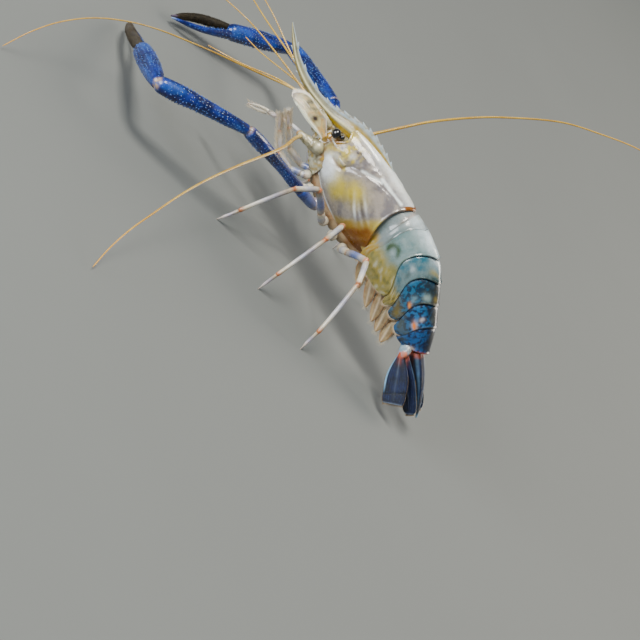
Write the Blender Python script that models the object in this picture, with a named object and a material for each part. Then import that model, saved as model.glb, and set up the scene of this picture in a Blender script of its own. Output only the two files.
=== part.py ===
# Giant river prawn, life size, standing on its walking legs.
# +X runs towards the tail, -Y is the animal's left, +Z is up and the floor is at zero.
# Sizes are in millimetres, and MM turns them into metres where meshes are made.

import math
import random

import bmesh
import bpy
from mathutils import Vector

MM = 0.001
GAP = 0.3
WELD = 0.0000002  # metres, for points that a Boolean leaves almost together
SIDES = {"left": -1, "right": 1}
COLLECTION_NAME = "giant_river_prawn"

# Carapace: stations along the body, from the front margin to the rear margin
CARAPACE_X = (-54, -46, -36, -24, -12, -2, 6)
CARAPACE_TOP = (63.5, 66.0, 68.0, 69.2, 69.2, 68.6, 66.6)
CARAPACE_BOTTOM = (44.0, 39.0, 34.0, 31.0, 30.2, 31.5, 34.0)
CARAPACE_HALF_WIDTH = (8.6, 10.2, 12.2, 13.7, 14.2, 13.8, 12.8)
MARGIN_STEPS = (0.0, 0.15, 0.3, 0.45, 0.62, 0.8, 1.0)
FRONT_MARGIN_X = (-47.0, -49.0, -46.4, -49.4, -50.2, -42.5, -36.0)
REAR_MARGIN_X = (0.4, -2.2, -4.0, -3.2, 1.0, 4.6, 1.0)
CARAPACE_SLICES = 9
MARGIN_GROWTH = 3.0
CARAPACE_RING = 28
FRONT_SPINE = ((-45.5, 8.6, 54.2), 0.25, 5.6, 1.0)
SIDE_SPINE = ((-38.0, 10.9, 53.4), 0.55, 4.4, 0.9)

# Rostrum: crest over the eyes, then a slender blade that curves up
ROSTRUM_X = (-110, -104, -94, -82, -70, -60, -50, -40, -30, -22)
ROSTRUM_TOP = (66.4, 64.0, 60.2, 58.6, 59.6, 63.0, 68.4, 70.6, 70.6, 69.6)
ROSTRUM_BOTTOM = (65.8, 61.6, 56.4, 53.6, 54.2, 55.6, 58.2, 61.2, 66.0, 68.0)
ROSTRUM_HALF_WIDTH = (0.3, 0.6, 0.9, 1.1, 1.3, 1.6, 1.9, 1.8, 1.4, 0.8)
RIDGE_SHARE = 0.42
BLADE_EDGE = 0.3
UPPER_TEETH_X = (-26, -30.5, -35, -39.5, -44, -48.5, -53, -57.5, -62.5, -69, -78, -89, -100)
LOWER_TEETH_X = (-61, -66, -71.5, -77, -83, -89, -95, -100.5)
TOOTH_LENGTH = 4.0
TOOTH_RADIUS = 0.8
TOOTH_HEIGHT = 1.4
TOOTH_SINK = 0.5

# Head: the body in front of the carapace, with stubs for eyes and feelers
HEAD_X = (-60.0, -57.5, -52, -46.2)
HEAD_TOP = (54.5, 55.8, 57.0, 59.0)
HEAD_BOTTOM = (46.5, 41.5, 37.0, 34.0)
HEAD_HALF_WIDTH = (4.0, 6.6, 8.6, 9.2)
EYE_RADIUS = 2.4
EYE_CENTRE = (-52.2, 9.5, 57.9)
EYE_STUB = ((-47.0, 3.2, 57.2), (-49.8, 6.3, 58.0))
ANTENNULE_STUB = ((-52.0, 3.8, 55.2), (-60.0, 4.1, 55.2))
ANTENNA_STUB = ((-48.5, 6.6, 46.6), (-54.6, 10.0, 44.9))
SCALE_STUB = ((-50.0, 7.0, 50.8), (-54.6, 10.8, 52.0))

# Feelers: routes of the whips from their peduncles to the tips, drawn for y outward
ANTENNULE_JOINTS = ((-59.5, 4.1, 55.2), (-66.5, 4.4, 55.2), (-71.5, 4.8, 54.9), (-76.0, 5.1, 54.4))
ANTENNA_JOINTS = ((-53.6, 9.5, 45.2), (-57.8, 11.2, 43.9), (-61.6, 11.8, 42.9))
ANTENNA_ROUTES = {
    "left": (
        (-60.6, 11.8, 42.9),
        (-59.8, 30, 45.6),
        (-57.4, 56, 46.2),
        (-58.5, 95, 39.0),
        (-58.8, 125, 32.3),
        (-58.0, 145, 26.8),
        (-56.4, 163, 20.1),
        (-54.6, 180, 13.1),
        (-51.7, 195, 7.2),
        (-48.2, 206, 1.5),
    ),
    "right": (
        (-60.6, 11.8, 42.9),
        (-56, 20, 46.5),
        (-48.6, 28, 50.9),
        (-46.0, 38, 56.2),
        (-40.9, 52, 68.2),
        (-35.8, 65, 79.6),
        (-27.2, 85, 93.3),
        (-19.4, 97, 104.0),
        (-1.0, 120, 124.2),
        (15.5, 135, 135.6),
        (34.2, 148, 146.5),
        (50.0, 156, 151.0),
    ),
}
ANTENNULE_ROUTES = {
    "left": (
        (
            (-75, 5.7, 54.6),
            (-84, 9, 50.0),
            (-92, 16, 46.4),
            (-101.6, 28, 43.1),
            (-112.6, 42, 39.5),
            (-122.4, 60, 37.3),
            (-132.4, 78, 34.4),
            (-140.2, 98, 31.7),
            (-147.1, 120, 26.9),
            (-151.1, 140, 19.9),
            (-152.4, 155, 11.7),
            (-152.6, 165, 1.6),
        ),
        ((-75, 5.3, 53.8), (-90, 8, 47), (-106, 13, 37), (-122, 18, 29)),
        ((-75, 4.6, 54.2), (-98, 4.8, 52.5), (-122, 8, 50), (-148, 14, 44)),
    ),
    "right": (
        ((-75, 5.7, 54.6), (-88, 10, 53), (-104, 18, 50), (-124, 34, 44), (-146, 58, 36), (-162, 88, 24)),
        ((-75, 5.3, 53.8), (-91, 9, 47), (-108, 15, 39), (-120, 22, 34)),
        ((-75, 4.6, 54.2), (-98, 5.8, 55), (-122, 12, 56), (-146, 22, 53)),
    ),
}
WHIP_STEP = 7.0
ANTENNA_WHIP_RADII = (1.0, 0.3)
ANTENNULE_WHIP_RADII = (0.55, 0.28)

# Antennal scale: a blade with a straight outer margin and its inner side raised
SCALE_ROOT = (-53.9, 12.3, 50.9)
SCALE_SWAY = (1.7, -0.9)
SCALE_TILT = math.radians(40)
SCALE_LENGTH = 26.0
SCALE_WIDTH = 8.6
SCALE_THICKNESS = 0.7

# Thorax floor under the carapace, and the places where limbs leave it
THORAX_X = (-45.9, -38, -24, -10, 3)
THORAX_TOP = (46, 42, 40, 40, 40)
THORAX_BOTTOM = (33.4, 29.4, 26.6, 26.2, 29.0)
THORAX_HALF_WIDTH = (3.2, 4.2, 5.4, 6.0, 5.0)
MAXILLIPED_ROOT = (-43.6, 6.4, 32.4)
FIRST_LEG_ROOT = (-37.4, 7.6, 30.4)
CLAW_LEG_ROOT = (-29.4, 8.9, 28.6)
WALKING_LEG_ROOTS = ((-20.0, 9.4, 28.0), (-11.6, 9.4, 27.8), (-3.6, 8.8, 28.6))

MAXILLIPED_JOINTS = ((-50, 8.4, 27.5), (-60, 8.2, 27.0), (-69, 7.2, 33.0), (-76, 6.2, 38.0))
MAXILLIPED_RADII = (1.8, 1.7, 1.3, 1.0, 0.5)
FIRST_LEG_JOINTS = ((-47, 17.5, 27.0), (-59, 25.5, 32.0), (-76, 27.0, 26.0), (-83, 25.5, 21.5))
FIRST_LEG_RADII = (1.6, 1.6, 1.35, 1.15, 1.35)
FIRST_CLAW_TIP = (-92, 22.5, 16.0)

# Walking legs: knee, carpus end, propodus end and foot, in millimetres from the mid-plane
WALKING_LEG_JOINTS = (
    ((-33, 30, 42), (-39, 42, 36), (-44, 54, 11), (-46.5, 57, -0.8)),
    ((-12, 32, 43), (-10.5, 45, 37), (-8.5, 57, 11), (-7.5, 59.5, -0.8)),
    ((8.5, 29, 43), (15.5, 39.5, 37), (25, 51.5, 11), (27.5, 54.5, -0.8)),
)
WALKING_LEG_RADII = (2.1, 1.75, 1.45, 1.15, 0.5)

# Great claws: elbow, wrist and finger tips
CLAW_ELBOW = (-72, 67, 41)
CLAW_WRIST = (-110, 97, 27)
CLAW_KNUCKLE = (-132.5, 60, 14.5)
CLAW_TIP = (-150.5, 27.5, 4.0)
MERUS_RADII = (2.6, 2.9, 2.7, 2.9, 3.3, 3.6, 3.2)
CARPUS_RADII = (2.7, 3.2, 3.6, 4.0, 4.4, 3.8)
PALM_RADII = (3.4, 4.2, 4.8, 5.0, 4.9, 4.6)
FIXED_FINGER_RADII = (2.5, 2.3, 2.0, 1.6, 1.2, 0.45)
MOVING_FINGER_RADII = (2.3, 2.5, 2.3, 1.9, 1.4, 0.5)
FINGER_SPREAD = 3.0
FINGER_STEP = 7.0
JOINT_REACH = 4.0
SPINULE_LENGTH = 1.1
SPINULE_RADIUS = 0.45
SPINULE_ROWS = 3
SPINULE_STEP = 6.5

# Abdomen: boundaries between its six segments, on the back and at the side plates' edge
BACK_X = (1.6, 10.9, 26.2, 36.9, 45.5, 54.1, 62.9)
BACK_Z = (68.2, 68.0, 65.2, 59.0, 51.9, 44.9, 34.6)
EDGE_X = (3.0, 11.6, 22.5, 30.5, 38.5, 46.4, 52.2)
EDGE_Z = (33.4, 33.2, 33.2, 32.6, 30.8, 28.4, 27.6)
SEGMENT_HALF_WIDTH = (12.6, 13.2, 13.2, 11.8, 10.1, 8.5, 6.3)
PLATE_RISE = (4.5, 3.0, 4.0, 4.5, 4.5, 0.0)
BELLY_RISE = 0.27
LOBE_REACH = (0.0, -5.0, 4.5, 1.8, 1.4, 1.2, 0.0)
NOTCH_REACH = (0.0, -5.3, -7.1, -6.8, -3.9, -1.6, 0.0)
NOTCH_DEPTH = 0.85
NOTCH_SKEW = 0.65
PLATE_THICKNESS = 1.3
SEGMENT_SLICES = 4
PLATE_LIP = 0.35
OVERLAP = 1.5
CARAPACE_OVERLAP = 9.0
FLANK_START = 7

# Swimming legs under segments one to five
PLEOPOD_SHARE = 0.45
PLEOPOD_BASE = 7.0
PLEOPOD_BLADES = (15.0, 16.0, 15.0, 13.0, 10.5)
PLEOPOD_SWEEP = math.radians(44)

# Tail fan, folded: roots, directions and outlines
TELSON_ROOT = (60.4, 0, 30.4)
TELSON_TIP = (87.0, 0, 11.6)
TELSON_HALF_WIDTHS = (4.3, 4.2, 3.7, 3.0, 2.2, 0.6)
TELSON_HALF_HEIGHTS = (2.7, 2.6, 2.3, 1.8, 1.2, 0.5)
TELSON_ARCH = 1.4
FAN_STUB = ((52.6, 3.4, 29.8), (56.2, 6.9, 26.6))
BLADE_ROOT_OFFSET = (1.0, -0.9, 0.7)
INNER_BLADE = ((83.6, 5.6, 11.6), 4.3, (0.35, 0.2, 0.6), 0.4)  # tip, half width, lean, end
OUTER_BLADE = ((74.6, 12.6, 9.4), 6.0, (0.5, 0.0, 0.8), 0.8)
BLADE_ROOT_HALF_WIDTH = 0.9
BLADE_WIDEST = 0.6
FAN_THICKNESS = 1.1

COLOURS = {
    "carapace": ((0.50, 0.49, 0.44), 0.32),
    "rostrum": ((0.66, 0.60, 0.42), 0.35),
    "head": ((0.58, 0.54, 0.46), 0.38),
    "eye": ((0.012, 0.012, 0.014), 0.08),
    "feeler": ((0.62, 0.30, 0.10), 0.40),
    "scale": ((0.64, 0.60, 0.48), 0.35),
    "leg": ((0.72, 0.60, 0.50), 0.38),
    "claw": ((0.030, 0.10, 0.36), 0.36),
    "finger": ((0.065, 0.045, 0.035), 0.75),
    "abdomen": ((0.20, 0.27, 0.30), 0.32),
    "pleopod": ((0.62, 0.56, 0.46), 0.45),
    "fan": ((0.06, 0.14, 0.30), 0.34),
}


def clear_scene():
    for obj in list(bpy.data.objects):
        bpy.data.objects.remove(obj, do_unlink=True)


def new_collection(name, hidden=False):
    collection = bpy.data.collections.new(name)
    bpy.context.scene.collection.children.link(collection)
    collection.hide_render = hidden
    return collection


def make_material(kind):
    colour, roughness = COLOURS[kind]
    material = bpy.data.materials.get(kind) or bpy.data.materials.new(kind)
    material.use_nodes = True
    shader = material.node_tree.nodes["Principled BSDF"]
    shader.inputs["Base Color"].default_value = (*colour, 1)
    shader.inputs["Roughness"].default_value = roughness
    shader.inputs["Metallic"].default_value = 0.0
    return material


def mirrored(place, side):
    """The place on the animal's left for a side of -1, on its right for 1."""
    return Vector((place[0], side * place[1], place[2]))


def blend(x, stations, values):
    """A smooth value at x through rising stations, by cubic Hermite pieces."""
    last = len(stations) - 1
    x = min(max(x, stations[0]), stations[last])
    i = max(k for k in range(last) if stations[k] <= x)
    width = stations[i + 1] - stations[i]
    t = (x - stations[i]) / width

    def slope(k):
        before, after = max(k - 1, 0), min(k + 1, last)
        return (values[after] - values[before]) / (stations[after] - stations[before])

    a, b = values[i], values[i + 1]
    return (
        (2 * t**3 - 3 * t**2 + 1) * a
        + (t**3 - 2 * t**2 + t) * width * slope(i)
        + (3 * t**2 - 2 * t**3) * b
        + (t**3 - t**2) * width * slope(i + 1)
    )


def smooth_route(points, step):
    """Points about one step apart on a smooth curve through the route's own points."""
    points = [Vector(p) for p in points]
    marks = [0.0]
    for near, far in zip(points, points[1:]):
        marks.append(marks[-1] + (far - near).length)
    count = max(3, round(marks[-1] / step))
    return [
        Vector([blend(marks[-1] * k / count, marks, [p[axis] for p in points]) for axis in range(3)])
        for k in range(count + 1)
    ]


def graded(values, share):
    """The value at a share of the way through evenly spaced values."""
    return blend(share * (len(values) - 1), list(range(len(values))), values)


def mesh_object(name, bm):
    bmesh.ops.recalc_face_normals(bm, faces=bm.faces)
    mesh = bpy.data.meshes.new(name)
    bm.to_mesh(mesh)
    bm.free()
    obj = bpy.data.objects.new(name, mesh)
    work_collection.objects.link(obj)
    return obj


def level_strips(count, last):
    """Faces between the left and right halves of a ring whose first point is on top."""
    strips = [(0, 1, count - 1)]
    strips += [(i, i + 1, count - i - 1, count - i) for i in range(1, last)]
    return strips


def loft(rings, cap=None):
    """A closed solid through rings of equally many points, with a face or a cap at each end."""
    bm = bmesh.new()
    rows = [[bm.verts.new(Vector(p) * MM) for p in ring] for ring in rings]
    count = len(rows[0])
    for near, far in zip(rows, rows[1:]):
        for i in range(count):
            j = (i + 1) % count
            bm.faces.new((near[i], near[j], far[j], far[i]))
    for corners in cap or [tuple(range(count))]:
        bm.faces.new([rows[0][i] for i in reversed(corners)])
        bm.faces.new([rows[-1][i] for i in corners])
    bmesh.ops.triangulate(bm, faces=[f for f in bm.faces if len(f.verts) > 4])
    return mesh_object("loft", bm)


def tube(points, radii, resolution=1):
    """A round bar along the points, with one radius a point, made from a curve and welded."""
    data = bpy.data.curves.new("tube", "CURVE")
    data.dimensions = "3D"
    data.bevel_depth = MM
    data.bevel_resolution = resolution
    data.use_fill_caps = True
    spline = data.splines.new("POLY")
    spline.points.add(len(points) - 1)
    for point, place, radius in zip(spline.points, points, radii):
        point.co = (*(Vector(place) * MM), 1)
        point.radius = radius
    curve = bpy.data.objects.new("tube", data)
    work_collection.objects.link(curve)
    graph = bpy.context.evaluated_depsgraph_get()
    mesh = bpy.data.meshes.new_from_object(curve.evaluated_get(graph))
    bm = bmesh.new()
    bm.from_mesh(mesh)
    bmesh.ops.remove_doubles(bm, verts=bm.verts, dist=WELD)
    obj = mesh_object("tube", bm)
    obj.matrix_world = curve.matrix_world
    bpy.data.objects.remove(curve, do_unlink=True)
    return obj


def spindle(start, end, radii, resolution=1):
    """One article of a limb: a straight bar whose radius follows the evenly spaced radii."""
    start, end = Vector(start), Vector(end)
    last = len(radii) - 1
    return tube([start.lerp(end, k / last) for k in range(last + 1)], radii, resolution)


def ball(centre, radius, detail=10):
    bm = bmesh.new()
    bmesh.ops.create_uvsphere(bm, u_segments=detail, v_segments=detail // 2 + 2, radius=radius * MM)
    bmesh.ops.translate(bm, verts=bm.verts, vec=Vector(centre) * MM)
    return mesh_object("ball", bm)


def spike(root, direction, length, radius, sides=4):
    """A spine that tapers to its tip, with its root sunk below the surface."""
    direction = Vector(direction).normalized()
    bm = bmesh.new()
    bmesh.ops.create_cone(
        bm, cap_ends=True, segments=sides, radius1=radius * MM, radius2=0, depth=length * MM
    )
    turn = direction.to_track_quat("Z", "Y").to_matrix().to_4x4()
    bmesh.ops.transform(bm, matrix=turn, verts=bm.verts)
    middle = Vector(root) + direction * length * 0.5
    bmesh.ops.translate(bm, verts=bm.verts, vec=middle * MM)
    return mesh_object("spike", bm)


def largest_surface(obj):
    """Only the largest closed surface of a joined mesh stays."""
    bm = bmesh.new()
    bm.from_mesh(obj.data)
    bmesh.ops.remove_doubles(bm, verts=bm.verts, dist=WELD)
    left = set(bm.verts)
    islands = []
    while left:
        island, front = set(), [left.pop()]
        while front:
            vert = front.pop()
            island.add(vert)
            for edge in vert.link_edges:
                other = edge.other_vert(vert)
                if other in left:
                    left.discard(other)
                    front.append(other)
        islands.append(island)
    keep = max(islands, key=len)
    bmesh.ops.delete(bm, geom=[v for v in bm.verts if v not in keep], context="VERTS")
    bm.to_mesh(obj.data)
    bm.free()


def boolean(obj, operation, target, solver="EXACT"):
    """The Boolean of obj with an object or a collection, applied."""
    modifier = obj.modifiers.new(operation, "BOOLEAN")
    modifier.operation = operation
    modifier.solver = solver
    if isinstance(target, bpy.types.Collection):
        modifier.operand_type = "COLLECTION"
        modifier.collection = target
    else:
        modifier.object = target
    graph = bpy.context.evaluated_depsgraph_get()
    mesh = bpy.data.meshes.new_from_object(obj.evaluated_get(graph))
    obj.modifiers.clear()
    obj.data = mesh


def fuse(pieces):
    """One solid out of overlapping pieces."""
    base, others = pieces[0], pieces[1:]
    if others:
        joined = bpy.data.collections.new("joined")
        for piece in others:
            work_collection.objects.unlink(piece)
            joined.objects.link(piece)
        bpy.context.scene.collection.children.link(joined)
        boolean(base, "UNION", joined)
        for piece in others:
            bpy.data.objects.remove(piece, do_unlink=True)
        bpy.data.collections.remove(joined)
    largest_surface(base)
    return base


def carve(obj, cutter):
    """What the cutter covers goes from obj, and the cutter goes too."""
    boolean(obj, "DIFFERENCE", cutter, "MANIFOLD")
    bpy.data.objects.remove(cutter, do_unlink=True)
    largest_surface(obj)


def trim(obj, place, direction):
    """Everything past the plane goes, and the cut is closed with a flat face."""
    bm = bmesh.new()
    bm.from_mesh(obj.data)
    bmesh.ops.bisect_plane(
        bm,
        geom=bm.verts[:] + bm.edges[:] + bm.faces[:],
        plane_co=Vector(place) * MM,
        plane_no=Vector(direction),
        clear_outer=True,
    )
    open_edges = [edge for edge in bm.edges if edge.is_boundary]
    filled = bmesh.ops.holes_fill(bm, edges=open_edges)["faces"]
    bmesh.ops.triangulate(bm, faces=filled)
    bmesh.ops.recalc_face_normals(bm, faces=bm.faces)
    bm.to_mesh(obj.data)
    bm.free()


def finish(obj, name, kind):
    """The object becomes the named sub-part with its material."""
    obj.name = name
    obj.data.name = name
    obj.data.materials.clear()
    obj.data.materials.append(make_material(kind))
    obj.data.shade_smooth()
    work_collection.objects.unlink(obj)
    parts_collection.objects.link(obj)
    return obj


def past(end, start, distance):
    """The place a distance beyond end, on the line from start."""
    end, start = Vector(end), Vector(start)
    return end + (end - start).normalized() * distance


def seat(obj, bar, side):
    """The object ends flat, the gap away from the end of the stub that carries it."""
    inner, outer = (mirrored(p, side) for p in bar)
    trim(obj, past(outer, inner, GAP), inner - outer)


def stub(inner, outer, radius):
    return spindle(inner, outer, (radius, radius))


def carapace_ring(share, grow):
    """One ring of the carapace, from the front margin at 0 to the rear margin at 1."""
    ring = []
    for k in range(CARAPACE_RING):
        angle = 2 * math.pi * k / CARAPACE_RING
        down = 1 - abs(1 - angle / math.pi)
        front = blend(down, MARGIN_STEPS, FRONT_MARGIN_X)
        rear = blend(down, MARGIN_STEPS, REAR_MARGIN_X)
        x = front + (rear - front) * share
        top = blend(x, CARAPACE_X, CARAPACE_TOP)
        bottom = blend(x, CARAPACE_X, CARAPACE_BOTTOM)
        half_width = blend(x, CARAPACE_X, CARAPACE_HALF_WIDTH)
        half_height = (top - bottom) / 2
        y = (half_width + grow) * math.sin(angle)
        z = (top + bottom) / 2 + (half_height + grow) * math.cos(angle)
        ring.append((x + MARGIN_GROWTH * grow * (2 * share - 1), y, z))
    return ring


def carapace_solid(grow=0.0):
    rings = [carapace_ring(k / CARAPACE_SLICES, grow) for k in range(CARAPACE_SLICES + 1)]
    half = CARAPACE_RING // 2
    return loft(rings, level_strips(CARAPACE_RING, half - 1) + [(half - 1, half, half + 1)])


def make_carapace():
    pieces = [carapace_solid()]
    for side in SIDES.values():
        for root, outward, length, radius in (FRONT_SPINE, SIDE_SPINE):
            pieces.append(spike(mirrored(root, side), (-1, side * outward, 0), length, radius, 6))
    finish(fuse(pieces), "carapace", "carapace")


def rostrum_ring(x, grow=0.0):
    top = blend(x, ROSTRUM_X, ROSTRUM_TOP) + grow
    bottom = blend(x, ROSTRUM_X, ROSTRUM_BOTTOM) - grow
    ridge = bottom + (top - bottom) * RIDGE_SHARE
    half = blend(x, ROSTRUM_X, ROSTRUM_HALF_WIDTH) + grow
    edge = min(BLADE_EDGE, half)
    return [
        (x, -edge, top),
        (x, edge, top),
        (x, half, ridge),
        (x, edge, bottom),
        (x, -edge, bottom),
        (x, -half, ridge),
    ]


def make_rostrum():
    steps = 18
    first, last = ROSTRUM_X[0], ROSTRUM_X[-1]
    pieces = [loft([rostrum_ring(first + (last - first) * k / steps) for k in range(steps + 1)])]
    for edge, teeth, up in ((ROSTRUM_TOP, UPPER_TEETH_X, 1), (ROSTRUM_BOTTOM, LOWER_TEETH_X, -1)):
        for x in teeth:
            root = (x + TOOTH_LENGTH / 2, 0, blend(x, ROSTRUM_X, edge) - up * TOOTH_SINK)
            tip_way = Vector((-TOOTH_LENGTH, 0, up * TOOTH_HEIGHT))
            pieces.append(spike(root, tip_way, tip_way.length + TOOTH_SINK, TOOTH_RADIUS))
    rostrum = fuse(pieces)
    carve(rostrum, carapace_solid(GAP))
    finish(rostrum, "rostrum", "rostrum")


def oval_ring(x, top, bottom, half_width, count=16):
    middle, half_height = (top + bottom) / 2, (top - bottom) / 2
    turns = [2 * math.pi * k / count for k in range(count)]
    return [(x, half_width * math.sin(a), middle + half_height * math.cos(a)) for a in turns]


def oval_body(stations, tops, bottoms, half_widths):
    rings = zip(stations, tops, bottoms, half_widths)
    return loft([oval_ring(*values) for values in rings])


def make_head():
    pieces = [oval_body(HEAD_X, HEAD_TOP, HEAD_BOTTOM, HEAD_HALF_WIDTH)]
    for side in SIDES.values():
        for (inner, outer), radius in (
            (EYE_STUB, 1.7),
            (ANTENNULE_STUB, 2.0),
            (ANTENNA_STUB, 3.2),
            (SCALE_STUB, 1.7),
        ):
            pieces.append(stub(mirrored(inner, side), mirrored(outer, side), radius))
    head = fuse(pieces)
    carve(head, carapace_solid(GAP))
    rostrum = loft([rostrum_ring(x, GAP) for x in (-70, -60, -50, -40, -30)])
    carve(head, rostrum)
    finish(head, "head", "head")


def make_eye(label, side):
    inner, outer = (mirrored(p, side) for p in EYE_STUB)
    centre = mirrored(EYE_CENTRE, side)
    root = past(outer, inner, -1)
    stalk = tube([root, root.lerp(centre, 0.35), root.lerp(centre, 0.75), centre], (1.7, 1.6, 2.0, 1.9))
    eye = fuse([ball(centre, EYE_RADIUS), stalk])
    seat(eye, EYE_STUB, side)
    finish(eye, "eye_" + label, "eye")


def whip(route, radii, side):
    points = [mirrored(p, side) for p in smooth_route(route, WHIP_STEP)]
    start, end = radii
    last = len(points) - 1
    return tube(points, [start + (end - start) * (k / last) ** 0.7 for k in range(last + 1)])


def make_antennule(label, side):
    joints = [mirrored(p, side) for p in ANTENNULE_JOINTS]
    pieces = []
    for near, far, radius in zip(joints, joints[1:], (2.0, 1.75, 1.5)):
        radii = (radius, radius * 0.86, radius * 0.86, radius)
        pieces.append(spindle(near, past(far, near, 0.4), radii))
    seat(pieces[0], ANTENNULE_STUB, side)
    pieces += [whip(route, ANTENNULE_WHIP_RADII, side) for route in ANTENNULE_ROUTES[label]]
    finish(fuse(pieces), "antennule_" + label, "feeler")


def make_antenna(label, side):
    joints = [mirrored(p, side) for p in ANTENNA_JOINTS]
    pieces = []
    for near, far, radius in zip(joints, joints[1:], (3.1, 2.4)):
        radii = (radius, radius, radius * 0.9, radius * 0.75)
        pieces.append(spindle(near, past(far, near, 0.4), radii))
    seat(pieces[0], ANTENNA_STUB, side)
    pieces.append(whip(ANTENNA_ROUTES[label], ANTENNA_WHIP_RADII, side))
    finish(fuse(pieces), "antenna_" + label, "feeler")


def make_scale(label, side):
    root = mirrored(SCALE_ROOT, side)
    inward = Vector((0, -side * math.cos(SCALE_TILT), math.sin(SCALE_TILT)))
    facing = Vector((0, side * math.sin(SCALE_TILT), math.cos(SCALE_TILT)))
    half = SCALE_THICKNESS / 2
    rings = []
    slices = 9
    for k in range(slices + 1):
        t = k / slices
        x = root.x - SCALE_LENGTH * t
        width = SCALE_WIDTH * min(1.0, 0.35 + 3.0 * t) * (1 - t**5) + 0.8
        sway = min(1.0, 2 * t)
        outer = root + Vector((x - root.x, side * SCALE_SWAY[0] * sway, SCALE_SWAY[1] * sway))
        inner = outer + inward * width
        middle = inner.lerp(outer, 0.75)
        rings.append(
            [
                outer + facing * half,
                middle + facing * half,
                inner + facing * half * 0.7,
                inner - facing * half * 0.7,
                middle - facing * half,
                outer - facing * half,
            ]
        )
    scale = loft(rings)
    seat(scale, SCALE_STUB, side)
    finish(scale, "antennal_scale_" + label, "scale")


def limb_stub(root):
    """A short bar from inside the thorax out to the limb's root, square to the limb's start."""
    inner = Vector((root.x, root.y * 0.25, root.z + 1.5))
    return inner, root


def make_thorax():
    pieces = [oval_body(THORAX_X, THORAX_TOP, THORAX_BOTTOM, THORAX_HALF_WIDTH)]
    for side in SIDES.values():
        for root, radius in (
            (MAXILLIPED_ROOT, MAXILLIPED_RADII[0]),
            (FIRST_LEG_ROOT, FIRST_LEG_RADII[0]),
            (CLAW_LEG_ROOT, MERUS_RADII[0]),
            *((place, WALKING_LEG_RADII[0]) for place in WALKING_LEG_ROOTS),
        ):
            inner, outer = limb_stub(mirrored(root, side))
            pieces.append(stub(inner, outer, radius))
    thorax = fuse(pieces)
    carve(thorax, carapace_solid(GAP))
    finish(thorax, "thorax", "head")


def limb_start(root, side):
    inner, outer = limb_stub(mirrored(root, side))
    return outer, past(outer, inner, 2.5)


def fuse_limb(pieces, root, side):
    """One limb, whose first two pieces end flat on the stub that carries it."""
    inner, outer = limb_stub(mirrored(root, side))
    for piece in pieces[:2]:
        trim(piece, past(outer, inner, GAP), inner - outer)
    return fuse(pieces)


def articles(places, radii):
    """The articles of a limb between its joints, each a little swollen at its far end."""
    pieces = []
    for near, far, start, end in zip(places, places[1:], radii, radii[1:]):
        waist = 0.5 * (start + end)
        radii_along = (start * 0.9, waist, waist, end * 1.12, end)
        pieces.append(spindle(near, past(far, near, end * 0.3), radii_along))
    return pieces


def make_maxilliped(label, side):
    start, bend = limb_start(MAXILLIPED_ROOT, side)
    places = [mirrored(p, side) for p in MAXILLIPED_JOINTS]
    pieces = [spindle(start, bend, (MAXILLIPED_RADII[0],) * 3)]
    pieces += articles([start.lerp(bend, 0.6), *places], MAXILLIPED_RADII)
    finish(fuse_limb(pieces, MAXILLIPED_ROOT, side), "maxilliped_" + label, "leg")


def make_first_leg(label, side):
    start, bend = limb_start(FIRST_LEG_ROOT, side)
    places = [mirrored(p, side) for p in FIRST_LEG_JOINTS]
    pieces = [spindle(start, bend, (FIRST_LEG_RADII[0],) * 3)]
    pieces += articles([start.lerp(bend, 0.6), *places], FIRST_LEG_RADII)
    tip = mirrored(FIRST_CLAW_TIP, side)
    for lift in (-0.75, 0.75):
        offset = Vector((0, 0, lift))
        pieces.append(spindle(places[-1] + offset, tip + offset * 0.8, (1.0, 0.8, 0.6, 0.3)))
    finish(fuse_limb(pieces, FIRST_LEG_ROOT, side), "first_leg_" + label, "leg")


def make_walking_leg(number, root, joints, label, side):
    start, bend = limb_start(root, side)
    places = [mirrored(p, side) for p in joints]
    pieces = [spindle(start, bend, (WALKING_LEG_RADII[0],) * 3)]
    pieces += articles([start.lerp(bend, 0.6), *places], WALKING_LEG_RADII)
    leg = fuse_limb(pieces, root, side)
    trim(leg, (0, 0, 0), (0, 0, -1))
    finish(leg, f"walking_leg_{number}_{label}", "leg")


def spinules(start, end, radii, chance):
    """Rows of short spines along an article, pointing to its far end."""
    start, end = Vector(start), Vector(end)
    along = (end - start).normalized()
    across = along.cross(Vector((0, 0, 1))).normalized()
    upward = across.cross(along)
    count = int((end - start).length / SPINULE_STEP)
    pieces = []
    for row in range(SPINULE_ROWS):
        for k in range(count):
            share = (k + 0.7 + 0.3 * row / SPINULE_ROWS) / (count + 0.6)
            turn = 2 * math.pi * (row + 0.25) / SPINULE_ROWS + chance.uniform(-0.25, 0.25)
            out = across * math.cos(turn) + upward * math.sin(turn)
            root = start.lerp(end, share) + out * (graded(radii, share) - 0.45)
            pieces.append(spike(root, out + along * 0.6, SPINULE_LENGTH, SPINULE_RADIUS))
    return pieces


def joint_plane(before, joint, after):
    """The plane that halves the bend at a joint, as its direction towards the next article."""
    before, joint, after = Vector(before), Vector(joint), Vector(after)
    return ((joint - before).normalized() + (after - joint).normalized()).normalized()


def meet(near_part, far_part, joint, direction):
    """The two articles end flat at a joint, with the gap between them."""
    joint = Vector(joint)
    trim(near_part, joint - direction * GAP / 2, direction)
    trim(far_part, joint + direction * GAP / 2, -direction)


def finger_bar(places, radii):
    """A finger of the great claw along a smooth curve through three places."""
    route = smooth_route(places, FINGER_STEP)
    last = len(route) - 1
    return tube(route, [graded(radii, k / last) for k in range(last + 1)], 2)


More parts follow.
